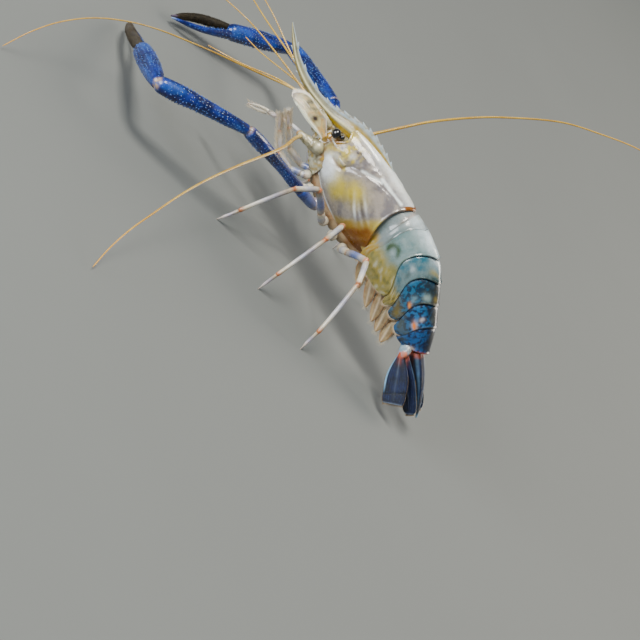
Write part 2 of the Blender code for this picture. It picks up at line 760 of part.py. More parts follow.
def make_great_claw(label, side):
    chance = random.Random(7)
    start, bend = limb_start(CLAW_LEG_ROOT, side)
    elbow, wrist, knuckle, tip = (
        mirrored(p, side) for p in (CLAW_ELBOW, CLAW_WRIST, CLAW_KNUCKLE, CLAW_TIP)
    )
    outward = (tip - wrist).normalized().cross(Vector((0, 0, 1))).normalized() * side
    spread = outward * FINGER_SPREAD

    merus_pieces = [spindle(start, bend, (MERUS_RADII[0],) * 3)]
    merus_start = start.lerp(bend, 0.5)
    merus_end = past(elbow, merus_start, JOINT_REACH)
    merus_pieces.append(spindle(merus_start, merus_end, (*MERUS_RADII, MERUS_RADII[-1]), 2))
    spined = merus_start.lerp(elbow, 0.2), elbow.lerp(merus_start, 0.06)
    merus_pieces += spinules(*spined, MERUS_RADII[1:], chance)
    merus = fuse_limb(merus_pieces, CLAW_LEG_ROOT, side)

    carpus_ends = past(elbow, wrist, JOINT_REACH), past(wrist, elbow, JOINT_REACH)
    carpus_pieces = [spindle(*carpus_ends, (CARPUS_RADII[0], *CARPUS_RADII), 2)]
    carpus_pieces += spinules(elbow.lerp(wrist, 0.1), wrist.lerp(elbow, 0.08), CARPUS_RADII, chance)
    carpus = fuse(carpus_pieces)

    palm_pieces = [spindle(past(wrist, knuckle, JOINT_REACH), knuckle, (PALM_RADII[0], *PALM_RADII), 2)]
    palm_pieces += spinules(wrist.lerp(knuckle, 0.12), knuckle.lerp(wrist, 0.05), PALM_RADII, chance)
    palm_way = (knuckle - wrist).normalized()
    middle = knuckle.lerp(tip, 0.5)
    palm_pieces.append(
        finger_bar(
            (knuckle - spread * 0.75 - palm_way * JOINT_REACH, middle - spread * 1.1, tip - spread * 0.1),
            FIXED_FINGER_RADII,
        )
    )
    for share in (0.22, 0.38):
        place = knuckle.lerp(tip, share) - spread * 0.75
        palm_pieces.append(spike(place, spread, 2.6, 1.1, 6))
    palm = fuse(palm_pieces)

    finger = finger_bar(
        (knuckle + spread * 0.8, middle + spread * 1.35, tip + spread * 0.35),
        MOVING_FINGER_RADII,
    )
    trim(finger, knuckle + palm_way * (GAP + 0.2), -palm_way)

    meet(merus, carpus, elbow, joint_plane(merus_start, elbow, wrist))
    meet(carpus, palm, wrist, joint_plane(elbow, wrist, knuckle))
    finish(merus, "great_claw_merus_" + label, "claw")
    finish(carpus, "great_claw_carpus_" + label, "claw")
    finish(palm, "great_claw_palm_" + label, "claw")
    finish(finger, "great_claw_finger_" + label, "finger")


def abdomen_ring(place, number, share, lip, inset, grow):
    """One ring of the abdomen at a place counted in segments, open towards the belly."""
    marks = list(range(len(BACK_X)))
    back = Vector((blend(place, marks, BACK_X), 0, blend(place, marks, BACK_Z)))
    edge = Vector((blend(place, marks, EDGE_X), 0, blend(place, marks, EDGE_Z)))
    upward = (back - edge).normalized()
    forward = Vector((upward.z, 0, -upward.x))
    height = (back - edge).length
    width = blend(place, marks, SEGMENT_HALF_WIDTH) + lip + grow
    lobe = (1 - abs(2 * share - 1) ** 3) if number < 6 else 1.0
    plate_low = PLATE_RISE[number - 1] * (1 - lobe) - grow
    belly = height * (BELLY_RISE if number < 6 else 0.02) - grow
    shoulder = height * 0.52
    crown = height + lip + grow - shoulder
    start_reach, end_reach = LOBE_REACH[number - 1], LOBE_REACH[number]
    start_notch, end_notch = NOTCH_REACH[number - 1], NOTCH_REACH[number]

    def reach(up):
        low = min(1.0, max(0.0, (height * 0.62 - up) / (height * 0.45)))
        low = low * low * (3 - 2 * low)
        below = min(1.0, max(0.0, (1 - up / height) / NOTCH_DEPTH))
        notch = math.sin(math.pi * below**NOTCH_SKEW)
        lobes = (start_reach * (1 - share) + end_reach * share) * low
        return lobes + (start_notch * (1 - share) + end_notch * share) * notch

    turns = [math.pi / 2 * k / 6 for k in range(7)]
    outer = [(width * math.sin(a), shoulder + crown * math.cos(a)) for a in turns]
    flank = [
        (width * (1 - 0.10 * t * t), shoulder + (plate_low - shoulder) * t) for t in (0.25, 0.5, 0.78, 1.0)
    ]
    tuck = width * 0.9 - PLATE_THICKNESS - 2 * grow
    inner = [
        (tuck, plate_low + 0.2),
        (tuck - 0.8, belly),
        (tuck * 0.45, belly - 0.6),
    ]
    half = outer + flank + inner
    profile = [(y, up, 1) for y, up in half] + [(0.0, belly - 1.0, 1)]
    profile += [(y, up, -1) for y, up in reversed(half[1:])]
    return [
        edge + upward * up + forward * (reach(up) + inset) + Vector((0, y * hand, 0))
        for y, up, hand in profile
    ]


def segment_solid(number, front, rear, grow=0.0):
    """A segment whose end faces lie a distance before and behind its two boundaries."""
    front_lip = PLATE_LIP if number == 2 else 0.0
    rear_lip = PLATE_LIP if number > 1 else 0.0
    rings = []
    for k in range(SEGMENT_SLICES + 1):
        share = k / SEGMENT_SLICES
        lip = front_lip + (rear_lip - front_lip) * share
        inset = rear * share - front * (1 - share)
        rings.append(abdomen_ring(number - 1 + share, number, share, lip, inset, grow))
    count = len(rings[0])
    plate = [FLANK_START, *range(FLANK_START + 1, FLANK_START + 6)]
    belly = [FLANK_START, *range(FLANK_START + 5, count - FLANK_START - 4), count - FLANK_START]
    other_plate = [count - i for i in reversed(plate)]
    return loft(rings, level_strips(count, FLANK_START) + [plate, belly, other_plate])


def make_abdomen_segment(number):
    if number == 1:
        pieces = [segment_solid(1, CARAPACE_OVERLAP, OVERLAP)]
    elif number == 2:
        pieces = [segment_solid(2, 0.0, 0.0)]
    else:
        pieces = [segment_solid(number, OVERLAP, 0.0)]
    if number < 6:
        for side in SIDES.values():
            inner, outer = pleopod_stub(number, side)
            pieces.append(stub(inner, outer, 1.6))
    else:
        for side in SIDES.values():
            inner, outer = (mirrored(p, side) for p in FAN_STUB)
            pieces.append(stub(inner, outer, 2.3))
    segment = fuse(pieces)
    if number == 1:
        carve(segment, carapace_solid(GAP))
        carve(segment, segment_solid(2, 2 * GAP, 0.0, 1.3 * GAP))
    elif number > 2:
        carve(segment, segment_solid(number - 1, 0.0, 2.6 * GAP, GAP))
    return segment


def pleopod_stub(number, side):
    marks = list(range(len(EDGE_X)))
    place = number - 1 + PLEOPOD_SHARE
    edge = Vector((blend(place, marks, EDGE_X), 0, blend(place, marks, EDGE_Z)))
    back = Vector((blend(place, marks, BACK_X), 0, blend(place, marks, BACK_Z)))
    upward = (back - edge).normalized()
    height = (back - edge).length
    y = side * blend(place, marks, SEGMENT_HALF_WIDTH) * 0.42
    inner = edge + upward * height * (BELLY_RISE + 0.12) + Vector((0, y, 0))
    outer = edge + upward * (height * BELLY_RISE - 2.0) + Vector((0, y, 0))
    return inner, outer


def make_pleopod(number, label, side):
    inner, outer = pleopod_stub(number, side)
    root = past(outer, inner, GAP)
    down = (outer - inner).normalized()
    elbow = root + down * PLEOPOD_BASE * (0.6 + 0.4 * PLEOPOD_BLADES[number - 1] / 16)
    length = PLEOPOD_BLADES[number - 1]
    tailward = Vector((-down.z, 0, down.x))
    back_down = tailward * math.cos(PLEOPOD_SWEEP) + down * math.sin(PLEOPOD_SWEEP)
    pieces = [spindle(root, elbow, (1.6, 1.8, 1.5))]
    for spread, reach in ((side * 1.9, 1.0), (-side * 0.9, 0.82)):
        rings = []
        for k in range(6):
            t = k / 5
            half = 0.35 + 2.5 * math.sin(math.pi * min(1.0, 0.12 + 0.88 * t)) ** 0.7
            centre = elbow + back_down * (length * reach * t - 1.0)
            centre.y += spread * (0.25 + 0.75 * t)
            rings.append(oval_blade_ring(centre, half, 0.45, back_down))
        pieces.append(loft(rings))
    finish(fuse(pieces), f"pleopod_{number}_{label}", "pleopod")


def oval_blade_ring(centre, half_width, half_thickness, along):
    across = Vector((0, 1, 0)).cross(along).normalized()
    turns = [2 * math.pi * k / 6 for k in range(6)]
    sideways = Vector((0, half_thickness, 0))
    return [centre + across * half_width * math.cos(a) + sideways * math.sin(a) for a in turns]


def make_telson():
    root, tip = Vector(TELSON_ROOT), Vector(TELSON_TIP)
    along = (tip - root).normalized()
    upward = Vector((0, 1, 0)).cross(along) * -1
    slices = 7
    rings = []
    for k in range(slices + 1):
        t = k / slices
        half_width, half_height = graded(TELSON_HALF_WIDTHS, t), graded(TELSON_HALF_HEIGHTS, t)
        turns = [2 * math.pi * i / 12 for i in range(12)]
        centre = root.lerp(tip, t) + upward * TELSON_ARCH * math.sin(math.pi * t)
        rings.append(
            [
                centre + Vector((0, half_width * math.sin(a), 0)) + upward * half_height * math.cos(a)
                for a in turns
            ]
        )
    return loft(rings)


def fan_blade(root, tip, half_width, lean, end, side):
    """A blade with a raised midrib on a plane that holds its lean; end is its last half width's share."""
    root, tip = mirrored(root, side), mirrored(tip, side)
    along = (tip - root).normalized()
    lean = mirrored(lean, side)
    across = (lean - along * lean.dot(along)).normalized()
    facing = along.cross(across).normalized()
    slices, points = 8, 10
    rings = []
    for k in range(slices + 1):
        t = k / slices
        if t < BLADE_WIDEST:
            outline = math.sin(math.pi / 2 * t / BLADE_WIDEST) ** 1.1
        else:
            outline = math.sqrt(1 - (1 - end**2) * ((t - BLADE_WIDEST) / (1 - BLADE_WIDEST)) ** 6)
        half = BLADE_ROOT_HALF_WIDTH + (half_width - BLADE_ROOT_HALF_WIDTH) * outline
        ring = []
        for i in range(points):
            a = 2 * math.pi * i / points
            rib = 0.55 * (1 - t) * max(0.0, 1 - abs(math.cos(a)) * 3)
            thick = FAN_THICKNESS / 2 * (1 - 0.35 * t) * math.sin(a) + math.copysign(rib, math.sin(a))
            ring.append(root.lerp(tip, t) + across * half * math.cos(a) + facing * thick)
        rings.append(ring)
    return loft(rings)


def make_tail():
    segment = make_abdomen_segment(6)
    telson = make_telson()
    plane = (Vector(TELSON_TIP) - Vector(TELSON_ROOT)).normalized()
    trim(segment, Vector(TELSON_ROOT) + plane * 0.2, plane)
    trim(telson, Vector(TELSON_ROOT) + plane * (0.2 + GAP), -plane)
    finish(segment, "abdomen_6", "abdomen")
    finish(telson, "telson", "fan")
    offset = Vector(BLADE_ROOT_OFFSET)
    stub_end = Vector(FAN_STUB[1])
    for label, side in SIDES.items():
        inner_blade = fan_blade(stub_end + offset, *INNER_BLADE, side)
        outer_blade = fan_blade(stub_end - offset, *OUTER_BLADE, side)
        for name, blade in (("inner_uropod_", inner_blade), ("outer_uropod_", outer_blade)):
            seat(blade, FAN_STUB, side)
            finish(blade, name + label, "fan")


def rest_at_origin():
    """The whole animal moves sideways so that its box is centred over the origin."""
    corners = [
        vert.co for obj in parts_collection.objects for vert in obj.data.vertices
    ]
    middle_x = (min(c.x for c in corners) + max(c.x for c in corners)) / 2
    middle_y = (min(c.y for c in corners) + max(c.y for c in corners)) / 2
    for obj in parts_collection.objects:
        for vert in obj.data.vertices:
            vert.co.x -= middle_x
            vert.co.y -= middle_y
    print("moved by", round(-middle_x / MM, 3), round(-middle_y / MM, 3), "mm")


clear_scene()
parts_collection = new_collection(COLLECTION_NAME)
work_collection = new_collection("cutters", hidden=True)

make_carapace()
make_rostrum()
make_head()
make_thorax()
for label, side in SIDES.items():
    make_eye(label, side)
    make_antennule(label, side)
    make_antenna(label, side)
    make_scale(label, side)
    make_maxilliped(label, side)
    make_first_leg(label, side)
    make_great_claw(label, side)
    for i in range(len(WALKING_LEG_ROOTS)):
        make_walking_leg(i + 3, WALKING_LEG_ROOTS[i], WALKING_LEG_JOINTS[i], label, side)
for number in range(1, 6):
    finish(make_abdomen_segment(number), f"abdomen_{number}", "abdomen")
    for label, side in SIDES.items():
        make_pleopod(number, label, side)
make_tail()
rest_at_origin()
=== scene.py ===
import math
import random

import bmesh
import bpy
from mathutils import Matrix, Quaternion, Vector, noise


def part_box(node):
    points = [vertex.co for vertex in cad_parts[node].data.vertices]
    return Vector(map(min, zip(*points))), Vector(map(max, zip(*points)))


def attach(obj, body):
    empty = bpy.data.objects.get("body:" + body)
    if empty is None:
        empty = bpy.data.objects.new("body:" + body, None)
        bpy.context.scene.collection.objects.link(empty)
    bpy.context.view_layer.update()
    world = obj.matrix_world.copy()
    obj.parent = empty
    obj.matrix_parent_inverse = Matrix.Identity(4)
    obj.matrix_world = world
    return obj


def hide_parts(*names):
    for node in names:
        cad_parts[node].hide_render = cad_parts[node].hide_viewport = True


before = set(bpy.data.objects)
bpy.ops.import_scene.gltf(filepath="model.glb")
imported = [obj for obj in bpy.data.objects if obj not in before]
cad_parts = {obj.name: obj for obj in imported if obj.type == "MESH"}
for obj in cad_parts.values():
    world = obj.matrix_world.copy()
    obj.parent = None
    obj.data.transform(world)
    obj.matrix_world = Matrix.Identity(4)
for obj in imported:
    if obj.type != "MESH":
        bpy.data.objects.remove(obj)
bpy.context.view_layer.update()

mm = 0.001
sides = {"left": -1, "right": 1}
body = "root"
rostrumTipX = -110.0

# Lengths below are millimetres: x runs to the tail, y is 0 on the mid-plane and z is 0 on the floor
middleY = (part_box("walking_leg_4_left")[0].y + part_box("walking_leg_4_right")[1].y) / 2
origin = Vector((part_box("rostrum")[0].x - rostrumTipX * mm, middleY, 0))


def toFrame(point):
    return Vector(point) * mm + origin


def onSide(point, side):
    return Vector((point[0], side * point[1], point[2]))


def mix(a, b, share):
    return a + (b - a) * share


def clamp(value, low=0.0, high=1.0):
    return min(high, max(low, value))


def smoothStep(low, high, value):
    share = clamp((value - low) / (high - low))
    return share * share * (3 - 2 * share)


def hump(value, middle, width):
    return math.exp(-(((value - middle) / width) ** 2))


# A smooth value at x through rising stations
def along(x, stations, values):
    last = len(stations) - 1
    x = clamp(x, stations[0], stations[last])
    i = max(k for k in range(last) if stations[k] <= x)
    width = stations[i + 1] - stations[i]
    t = (x - stations[i]) / width

    def slope(k):
        before, after = max(k - 1, 0), min(k + 1, last)
        return (values[after] - values[before]) / (stations[after] - stations[before])

    return (
        (2 * t**3 - 3 * t**2 + 1) * values[i]
        + (t**3 - 2 * t**2 + t) * width * slope(i)
        + (3 * t**2 - 2 * t**3) * values[i + 1]
        + (t**3 - t**2) * width * slope(i + 1)
    )


def graded(values, share):
    return along(share * (len(values) - 1), list(range(len(values))), values)


def smoothRoute(points, step):
    points = [Vector(p) for p in points]
    marks = [0.0]
    for near, far in zip(points, points[1:]):
        marks.append(marks[-1] + (far - near).length)
    count = max(3, round(marks[-1] / step))
    return [
        Vector([along(marks[-1] * k / count, marks, [p[axis] for p in points]) for axis in range(3)])
        for k in range(count + 1)
    ]


def ripple(point, size):
    return noise.noise(Vector(point) / size)


# The mesh of a piece is gathered as points, faces and four masks for the paint
zoneNames = ("zonePale", "zoneWarm", "zoneDark", "zoneEdge")
noZone = (0.0, 0.0, 0.0, 0.0)


def newBuild():
    return {"points": [], "faces": [], "zones": [], "uvs": []}


# Rows of points joined by faces; a closed grid runs round and has a cap at each end
def addGrid(build, rows, zones=None, closed=False):
    start = len(build["points"])
    count = len(rows[0])
    for r, row in enumerate(rows):
        for c, point in enumerate(row):
            build["points"].append(Vector(point))
            build["zones"].append(zones[r][c] if zones else noZone)
    for r in range(len(rows) - 1):
        for c in range(count if closed else count - 1):
            d = (c + 1) % count
            near, far = start + r * count, start + (r + 1) * count
            build["faces"].append((near + c, near + d, far + d, far + c))
    if closed:
        last = start + (len(rows) - 1) * count
        build["faces"].append(tuple(start + c for c in reversed(range(count))))
        build["faces"].append(tuple(last + c for c in range(count)))


# A thin blade: each slice has its upper points, its lower points and their masks
def addBlade(build, slices):
    rows = [upper + lower[::-1] for upper, lower, marks in slices]
    zones = [marks + marks[::-1] for upper, lower, marks in slices]
    addGrid(build, rows, zones, closed=True)


def circle(centre, across, other, size, count):
    turns = (2 * math.pi * i / count for i in range(count))
    return [centre + (across * math.cos(a) + other * math.sin(a)) * size for a in turns]


def mixZones(first, second, share):
    return tuple(mix(p, q, share) for p, q in zip(first, second))


def makePiece(name, build, material, nodes, thickness=0.0, sharpAngle=50):
    mesh = bpy.data.meshes.new(name)
    mesh.from_pydata([toFrame(p) for p in build["points"]], [], build["faces"])
    shape = bmesh.new()
    shape.from_mesh(mesh)
    bmesh.ops.recalc_face_normals(shape, faces=shape.faces)
    shape.to_mesh(mesh)
    shape.free()
    for index, zone in enumerate(zoneNames):
        attribute = mesh.attributes.new(zone, "FLOAT", "POINT")
        attribute.data.foreach_set("value", [values[index] for values in build["zones"]])
    if build["uvs"]:
        layer = mesh.uv_layers.new(name="OFBake")
        for loop in mesh.loops:
            layer.data[loop.index].uv = build["uvs"][loop.vertex_index]
    obj = bpy.data.objects.new(name, mesh)
    bpy.context.scene.collection.objects.link(obj)
    if thickness:
        shell = obj.modifiers.new("shell", "SOLIDIFY")
        shell.thickness = thickness * mm
        shell.offset = -1
        bpy.context.view_layer.update()
        graph = bpy.context.evaluated_depsgraph_get()
        finished = bpy.data.meshes.new_from_object(obj.evaluated_get(graph))
        obj.modifiers.clear()
        obj.data = finished
    obj.data.shade_smooth()
    obj.data.set_sharp_from_angle(angle=math.radians(sharpAngle))
    obj.data.materials.clear()
    obj.data.materials.append(material)
    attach(obj, body)
    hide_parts(*nodes)


# Paint: colours are given as they look on a screen, from 0 to 255
def tint(red, green, blue):
    def linear(value):
        value /= 255
        return value / 12.92 if value <= 0.04045 else ((value + 0.055) / 1.055) ** 2.4

    return (linear(red), linear(green), linear(blue), 1.0)


# A group whose inputs are numbers, with one output
def newGroup(name, inputs, output):
    group = bpy.data.node_groups.new(name, "ShaderNodeTree")
    for label, value in inputs.items():
        socket = group.interface.new_socket(label, in_out="INPUT", socket_type="NodeSocketFloat")
        socket.default_value = value
    group.interface.new_socket(output, in_out="OUTPUT", socket_type="NodeSocketFloat")
    return group, group.nodes.new("NodeGroupInput"), group.nodes.new("NodeGroupOutput")


def addNode(tree, kind, **settings):
    node = tree.nodes.new(kind)
    for key, value in settings.items():
        setattr(node, key, value)
    return node


def wire(tree, source, target):
    tree.links.new(source, target)


# A socket takes a plain value or another node's output
def feed(tree, value, socket):
    if isinstance(value, (int, float, tuple)):
        socket.default_value = value
    else:
        wire(tree, value, socket)


def mathNode(tree, operation, first, second, limited=False):
    node = addNode(tree, "ShaderNodeMath", operation=operation, use_clamp=limited)
    feed(tree, first, node.inputs[0])
    feed(tree, second, node.inputs[1])
    return node.outputs[0]


def mixColour(tree, share, first, second):
    node = addNode(tree, "ShaderNodeMix", data_type="RGBA")
    sockets = [s for s in node.inputs if s.enabled]
    for socket, value in zip(sockets, (share, first, second)):
        feed(tree, value, socket)
    return [s for s in node.outputs if s.enabled][0]


def stepNode(tree, value, low, high):
    node = addNode(tree, "ShaderNodeMapRange", interpolation_type="SMOOTHSTEP")
    for label, source in (("Value", value), ("From Min", low), ("From Max", high)):
        feed(tree, source, node.inputs[label])
    return node.outputs["Result"]


# A noise or cell texture laid out in the piece's own space
def textureNode(tree, kind, **values):
    place = addNode(tree, "ShaderNodeTexCoord")
    node = addNode(tree, kind)
    wire(tree, place.outputs["Object"], node.inputs["Vector"])
    for label, value in values.items():
        feed(tree, value, node.inputs[label])
    return node


def noiseNode(tree, scale, detail, roughness=0.55):
    node = textureNode(tree, "ShaderNodeTexNoise", Scale=scale, Detail=detail, Roughness=roughness)
    return node.outputs["Fac"]


def bumpNode(tree, height, strength, depth):
    node = addNode(tree, "ShaderNodeBump")
    for label, value in (("Height", height), ("Strength", strength), ("Distance", depth)):
        feed(tree, value, node.inputs[label])
    return node.outputs["Normal"]


# A soft cloudiness over the shell
def makeMottle():
    group, given, out = newGroup("mottle", {"Scale": 200.0, "Low": 0.4, "High": 0.6}, "Mask")
    cloud = noiseNode(group, given.outputs["Scale"], 4.0, 0.6)
    mask = stepNode(group, cloud, given.outputs["Low"], given.outputs["High"])
    wire(group, mask, out.inputs["Mask"])
    return group


# Small round chromatophores, with a share of the cells left empty
def makeSpeckle():
    group, given, out = newGroup("speckle", {"Scale": 1500.0, "Size": 0.3, "Share": 0.5}, "Mask")
    cells = textureNode(group, "ShaderNodeTexVoronoi", Scale=given.outputs["Scale"])
    near = mathNode(group, "LESS_THAN", cells.outputs["Distance"], given.outputs["Size"])
    apart = addNode(group, "ShaderNodeSeparateColor")
    wire(group, cells.outputs["Color"], apart.inputs[0])
    kept = mathNode(group, "LESS_THAN", apart.outputs[0], given.outputs["Share"])
    wire(group, mathNode(group, "MULTIPLY", near, kept), out.inputs["Mask"])
    return group


# A painted mask whose border wanders as pigment does
def makeZone():
    group, given, out = newGroup("zone", {"Mask": 0.0, "Scale": 260.0, "Ragged": 0.5}, "Mask")
    cloud = noiseNode(group, given.outputs["Scale"], 3.0)
    lifted = mathNode(group, "SUBTRACT", cloud, 0.5)
    swing = mathNode(group, "MULTIPLY", lifted, given.outputs["Ragged"])
    inside = mathNode(group, "MULTIPLY", given.outputs["Mask"], 4.0, True)
    swing = mathNode(group, "MULTIPLY", swing, inside)
    wire(group, mathNode(group, "ADD", given.outputs["Mask"], swing, True), out.inputs["Mask"])
    return group


# Fine grain and pits of the shell, as a height
def makeGrain():
    inputs = {"Grain Scale": 900.0, "Pit Scale": 700.0, "Pits": 0.5}
    group, given, out = newGroup("shellGrain", inputs, "Height")
    grain = noiseNode(group, given.outputs["Grain Scale"], 5.0, 0.6)
    cells = textureNode(group, "ShaderNodeTexVoronoi", Scale=given.outputs["Pit Scale"])
    rise = stepNode(group, cells.outputs["Distance"], 0.0, 0.35)
    pits = mathNode(group, "MULTIPLY", rise, given.outputs["Pits"])
    wire(group, mathNode(group, "ADD", grain, pits), out.inputs["Height"])
    return group


# Wet and dry patches, as roughness
def makeSheen():
    group, given, out = newGroup("wetness", {"Wet": 0.2, "Dry": 0.45, "Scale": 220.0}, "Roughness")
    cloud = stepNode(group, noiseNode(group, given.outputs["Scale"], 4.0, 0.65), 0.35, 0.65)
    span = mathNode(group, "SUBTRACT", given.outputs["Dry"], given.outputs["Wet"])
    drier = mathNode(group, "MULTIPLY", cloud, span)
    wire(group, mathNode(group, "ADD", given.outputs["Wet"], drier), out.inputs["Roughness"])
    return group


mottleGroup = makeMottle()
speckleGroup = makeSpeckle()
zoneGroup = makeZone()
grainGroup = makeGrain()
sheenGroup = makeSheen()


def useGroup(tree, group, **values):
    node = addNode(tree, "ShaderNodeGroup", node_tree=group)
    for label, value in values.items():
        feed(tree, value, node.inputs[label.replace("_", " ")])
    return node.outputs[0]


paints = ("base", "shade", "pale", "warm", "dark", "edge", "speck")
plainLook = {
    "base": (200, 190, 175),
    "shade": (170, 160, 150),
    "pale": (235, 232, 226),
    "warm": (205, 160, 80),
    "dark": (60, 55, 50),
    "edge": (225, 215, 190),
    "speck": (120, 100, 80),
    "mottleScale": 180.0,
    "mottleSpan": (0.38, 0.66),
    "ragged": 0.5,
    "zoneScale": 260.0,
    "speckScale": 1500.0,
    "speckSize": 0.28,
    "speckShare": 0.25,
    "speckStrength": 0.35,
    "wet": 0.14,
    "dry": 0.34,
    "grainScale": 900.0,
    "pits": 0.35,
    "bump": 0.25,
    "bumpDepth": 0.00012,
    "flesh": 0.14,
    "fleshDepth": 0.0015,
    "fleshRadius": (1.0, 0.7, 0.45),
    "coat": 0.4,
    "coatRoughness": 0.12,
}


def newShader(name):
    material = bpy.data.materials.new(name)
    material.use_nodes = True
    return material, material.node_tree, material.node_tree.nodes["Principled BSDF"]


def shellMaterial(name, **changes):
    look = {**plainLook, **changes}
    look.update({paint: tint(*look[paint]) for paint in paints})
    material, tree, shader = newShader(name)
    low, high = look["mottleSpan"]
    cloud = useGroup(tree, mottleGroup, Scale=look["mottleScale"], Low=low, High=high)
    colour = mixColour(tree, cloud, look["base"], look["shade"])
    for paint in ("warm", "dark", "pale", "edge"):  # each lies over the one before
        attribute = addNode(tree, "ShaderNodeAttribute", attribute_name="zone" + paint.capitalize())
        painted = attribute.outputs["Fac"]
        mask = useGroup(tree, zoneGroup, Mask=painted, Scale=look["zoneScale"], Ragged=look["ragged"])
        colour = mixColour(tree, mask, colour, look[paint])
    size, share = look["speckSize"], look["speckShare"]
    specks = useGroup(tree, speckleGroup, Scale=look["speckScale"], Size=size, Share=share)
    specks = mathNode(tree, "MULTIPLY", specks, look["speckStrength"])
    wire(tree, mixColour(tree, specks, colour, look["speck"]), shader.inputs["Base Color"])
    wire(tree, useGroup(tree, sheenGroup, Wet=look["wet"], Dry=look["dry"]), shader.inputs["Roughness"])
    height = useGroup(tree, grainGroup, Grain_Scale=look["grainScale"], Pits=look["pits"])
    wire(tree, bumpNode(tree, height, look["bump"], look["bumpDepth"]), shader.inputs["Normal"])
    for label, key in (
        ("Subsurface Weight", "flesh"),
        ("Subsurface Scale", "fleshDepth"),
        ("Subsurface Radius", "fleshRadius"),
        ("Coat Weight", "coat"),
        ("Coat Roughness", "coatRoughness"),
    ):
        shader.inputs[label].default_value = look[key]
    return material


# Fringes: each bristle is a thin spike with its own patch on the OFBake map
bristles = {
    "patch": 0.003,
    "patchCore": 0.3,
    "sides": 3,
    "rings": 3,
    "tipRadius": 0.012,
}


def addBristle(build, root, direction, length, radius, droop, place, zone=noZone):
    direction = Vector(direction).normalized()
    across = direction.orthogonal().normalized()
    other = direction.cross(across)
    count, rings = bristles["sides"], bristles["rings"]
    rows = []
    for k in range(rings + 1):
        t = k / rings
        centre = Vector(root) + direction * length * t + Vector(droop) * t * t
        rows.append(circle(centre, across, other, radius * (1 - t) + bristles["tipRadius"], count))
    addGrid(build, rows, [[zone] * count] * len(rows), closed=True)
    half, core = bristles["patch"] / 2, bristles["patchCore"]
    for index in range(len(rows) * count):
        turn = 2 * math.pi * (index % count) / count
        grow = half * (core + (1 - core) * (index // count) / rings)
        build["uvs"].append((place[0] + grow * math.cos(turn), place[1] + grow * math.sin(turn)))


bristlePaint = shellMaterial(
    "bristles",
    base=(206, 190, 150),
    shade=(176, 156, 116),
    pale=(228, 228, 222),
    warm=(190, 128, 50),
    dark=(84, 64, 44),
    mottleScale=400.0,
    speckShare=0.0,
    bump=0.05,
    flesh=0.0,
    coat=0.1,
)

# Camera: side view from the animal's left, rolled as the animal hangs in the picture
view = {
    "elevation": 21.0,
    "roll": 58.0,
    "distance": 1150.0,
    "across": 320.0,
    "aim": (20.5, 0.0, -4.4),
    "sensor": 36.0,
    "clip": (0.05, 30.0),
}


def makeCamera():
    data = bpy.data.cameras.new("camera")
    camera = bpy.data.objects.new("camera", data)
    bpy.context.scene.collection.objects.link(camera)
    up = math.radians(view["elevation"])
    back = Vector((0, -math.cos(up), math.sin(up)))
    camera.location = toFrame(view["aim"]) + back * view["distance"] * mm
    camera.rotation_mode = "QUATERNION"
    level = (-back).to_track_quat("-Z", "Y")
    camera.rotation_quaternion = level @ Quaternion((0, 0, 1), math.radians(view["roll"]))
    data.sensor_width = view["sensor"]
    data.lens = view["sensor"] * view["distance"] / view["across"]
    data.clip_start, data.clip_end = view["clip"]
    bpy.context.scene.camera = camera


makeCamera()
print("camera in place")

# Floor and studio lights
studio = {
    "floorSize": 14.0,
    "floorColour": tint(112, 116, 114),
    "floorShade": 0.96,
    "floorMottle": 3.0,
    "floorRoughness": 0.8,
    "worldColour": tint(206, 216, 228),
    "worldStrength": 0.34,
    "aim": (-10, 0, 45),
    "lights": (  # name, place in millimetres, size in metres, power in watts, colour
        ("key", (-560, -520, 1500), 0.6, 36.0, tint(255, 249, 238)),
        ("fill", (-1150, -1350, 360), 1.1, 50.0, tint(244, 248, 255)),
        ("rim", (700, 1300, 900), 0.8, 22.0, tint(255, 246, 232)),
    ),
}


def makeFloor():
    half = studio["floorSize"] / 2
    corners = [(-half, -half, 0), (half, -half, 0), (half, half, 0), (-half, half, 0)]
    mesh = bpy.data.meshes.new("floor")
    mesh.from_pydata(corners, [], [(0, 1, 2, 3)])
    floor = bpy.data.objects.new("floor", mesh)
    bpy.context.scene.collection.objects.link(floor)
    material, tree, shader = newShader("floorPaper")
    light, shade = studio["floorColour"], studio["floorShade"]
    cloud = useGroup(tree, mottleGroup, Scale=studio["floorMottle"], Low=0.3, High=0.7)
    darker = tuple(value * shade for value in light[:3]) + (1.0,)
    wire(tree, mixColour(tree, cloud, light, darker), shader.inputs["Base Color"])
    shader.inputs["Roughness"].default_value = studio["floorRoughness"]
    mesh.materials.append(material)


def makeLights():
    world = bpy.data.worlds.new("studio")
    bpy.context.scene.world = world
    world.use_nodes = True
    background = world.node_tree.nodes["Background"]
    background.inputs["Color"].default_value = studio["worldColour"]
    background.inputs["Strength"].default_value = studio["worldStrength"]
    for name, place, size, power, colour in studio["lights"]:
        data = bpy.data.lights.new(name, "AREA")
        data.size = size
        data.energy = power
        data.color = colour[:3]
        light = bpy.data.objects.new(name, data)
        bpy.context.scene.collection.objects.link(light)
        light.location = toFrame(place)
        aim = toFrame(studio["aim"]) - light.location
        light.rotation_mode = "QUATERNION"
        light.rotation_quaternion = aim.to_track_quat("-Z", "Y")


makeFloor()
makeLights()
print("studio in place")

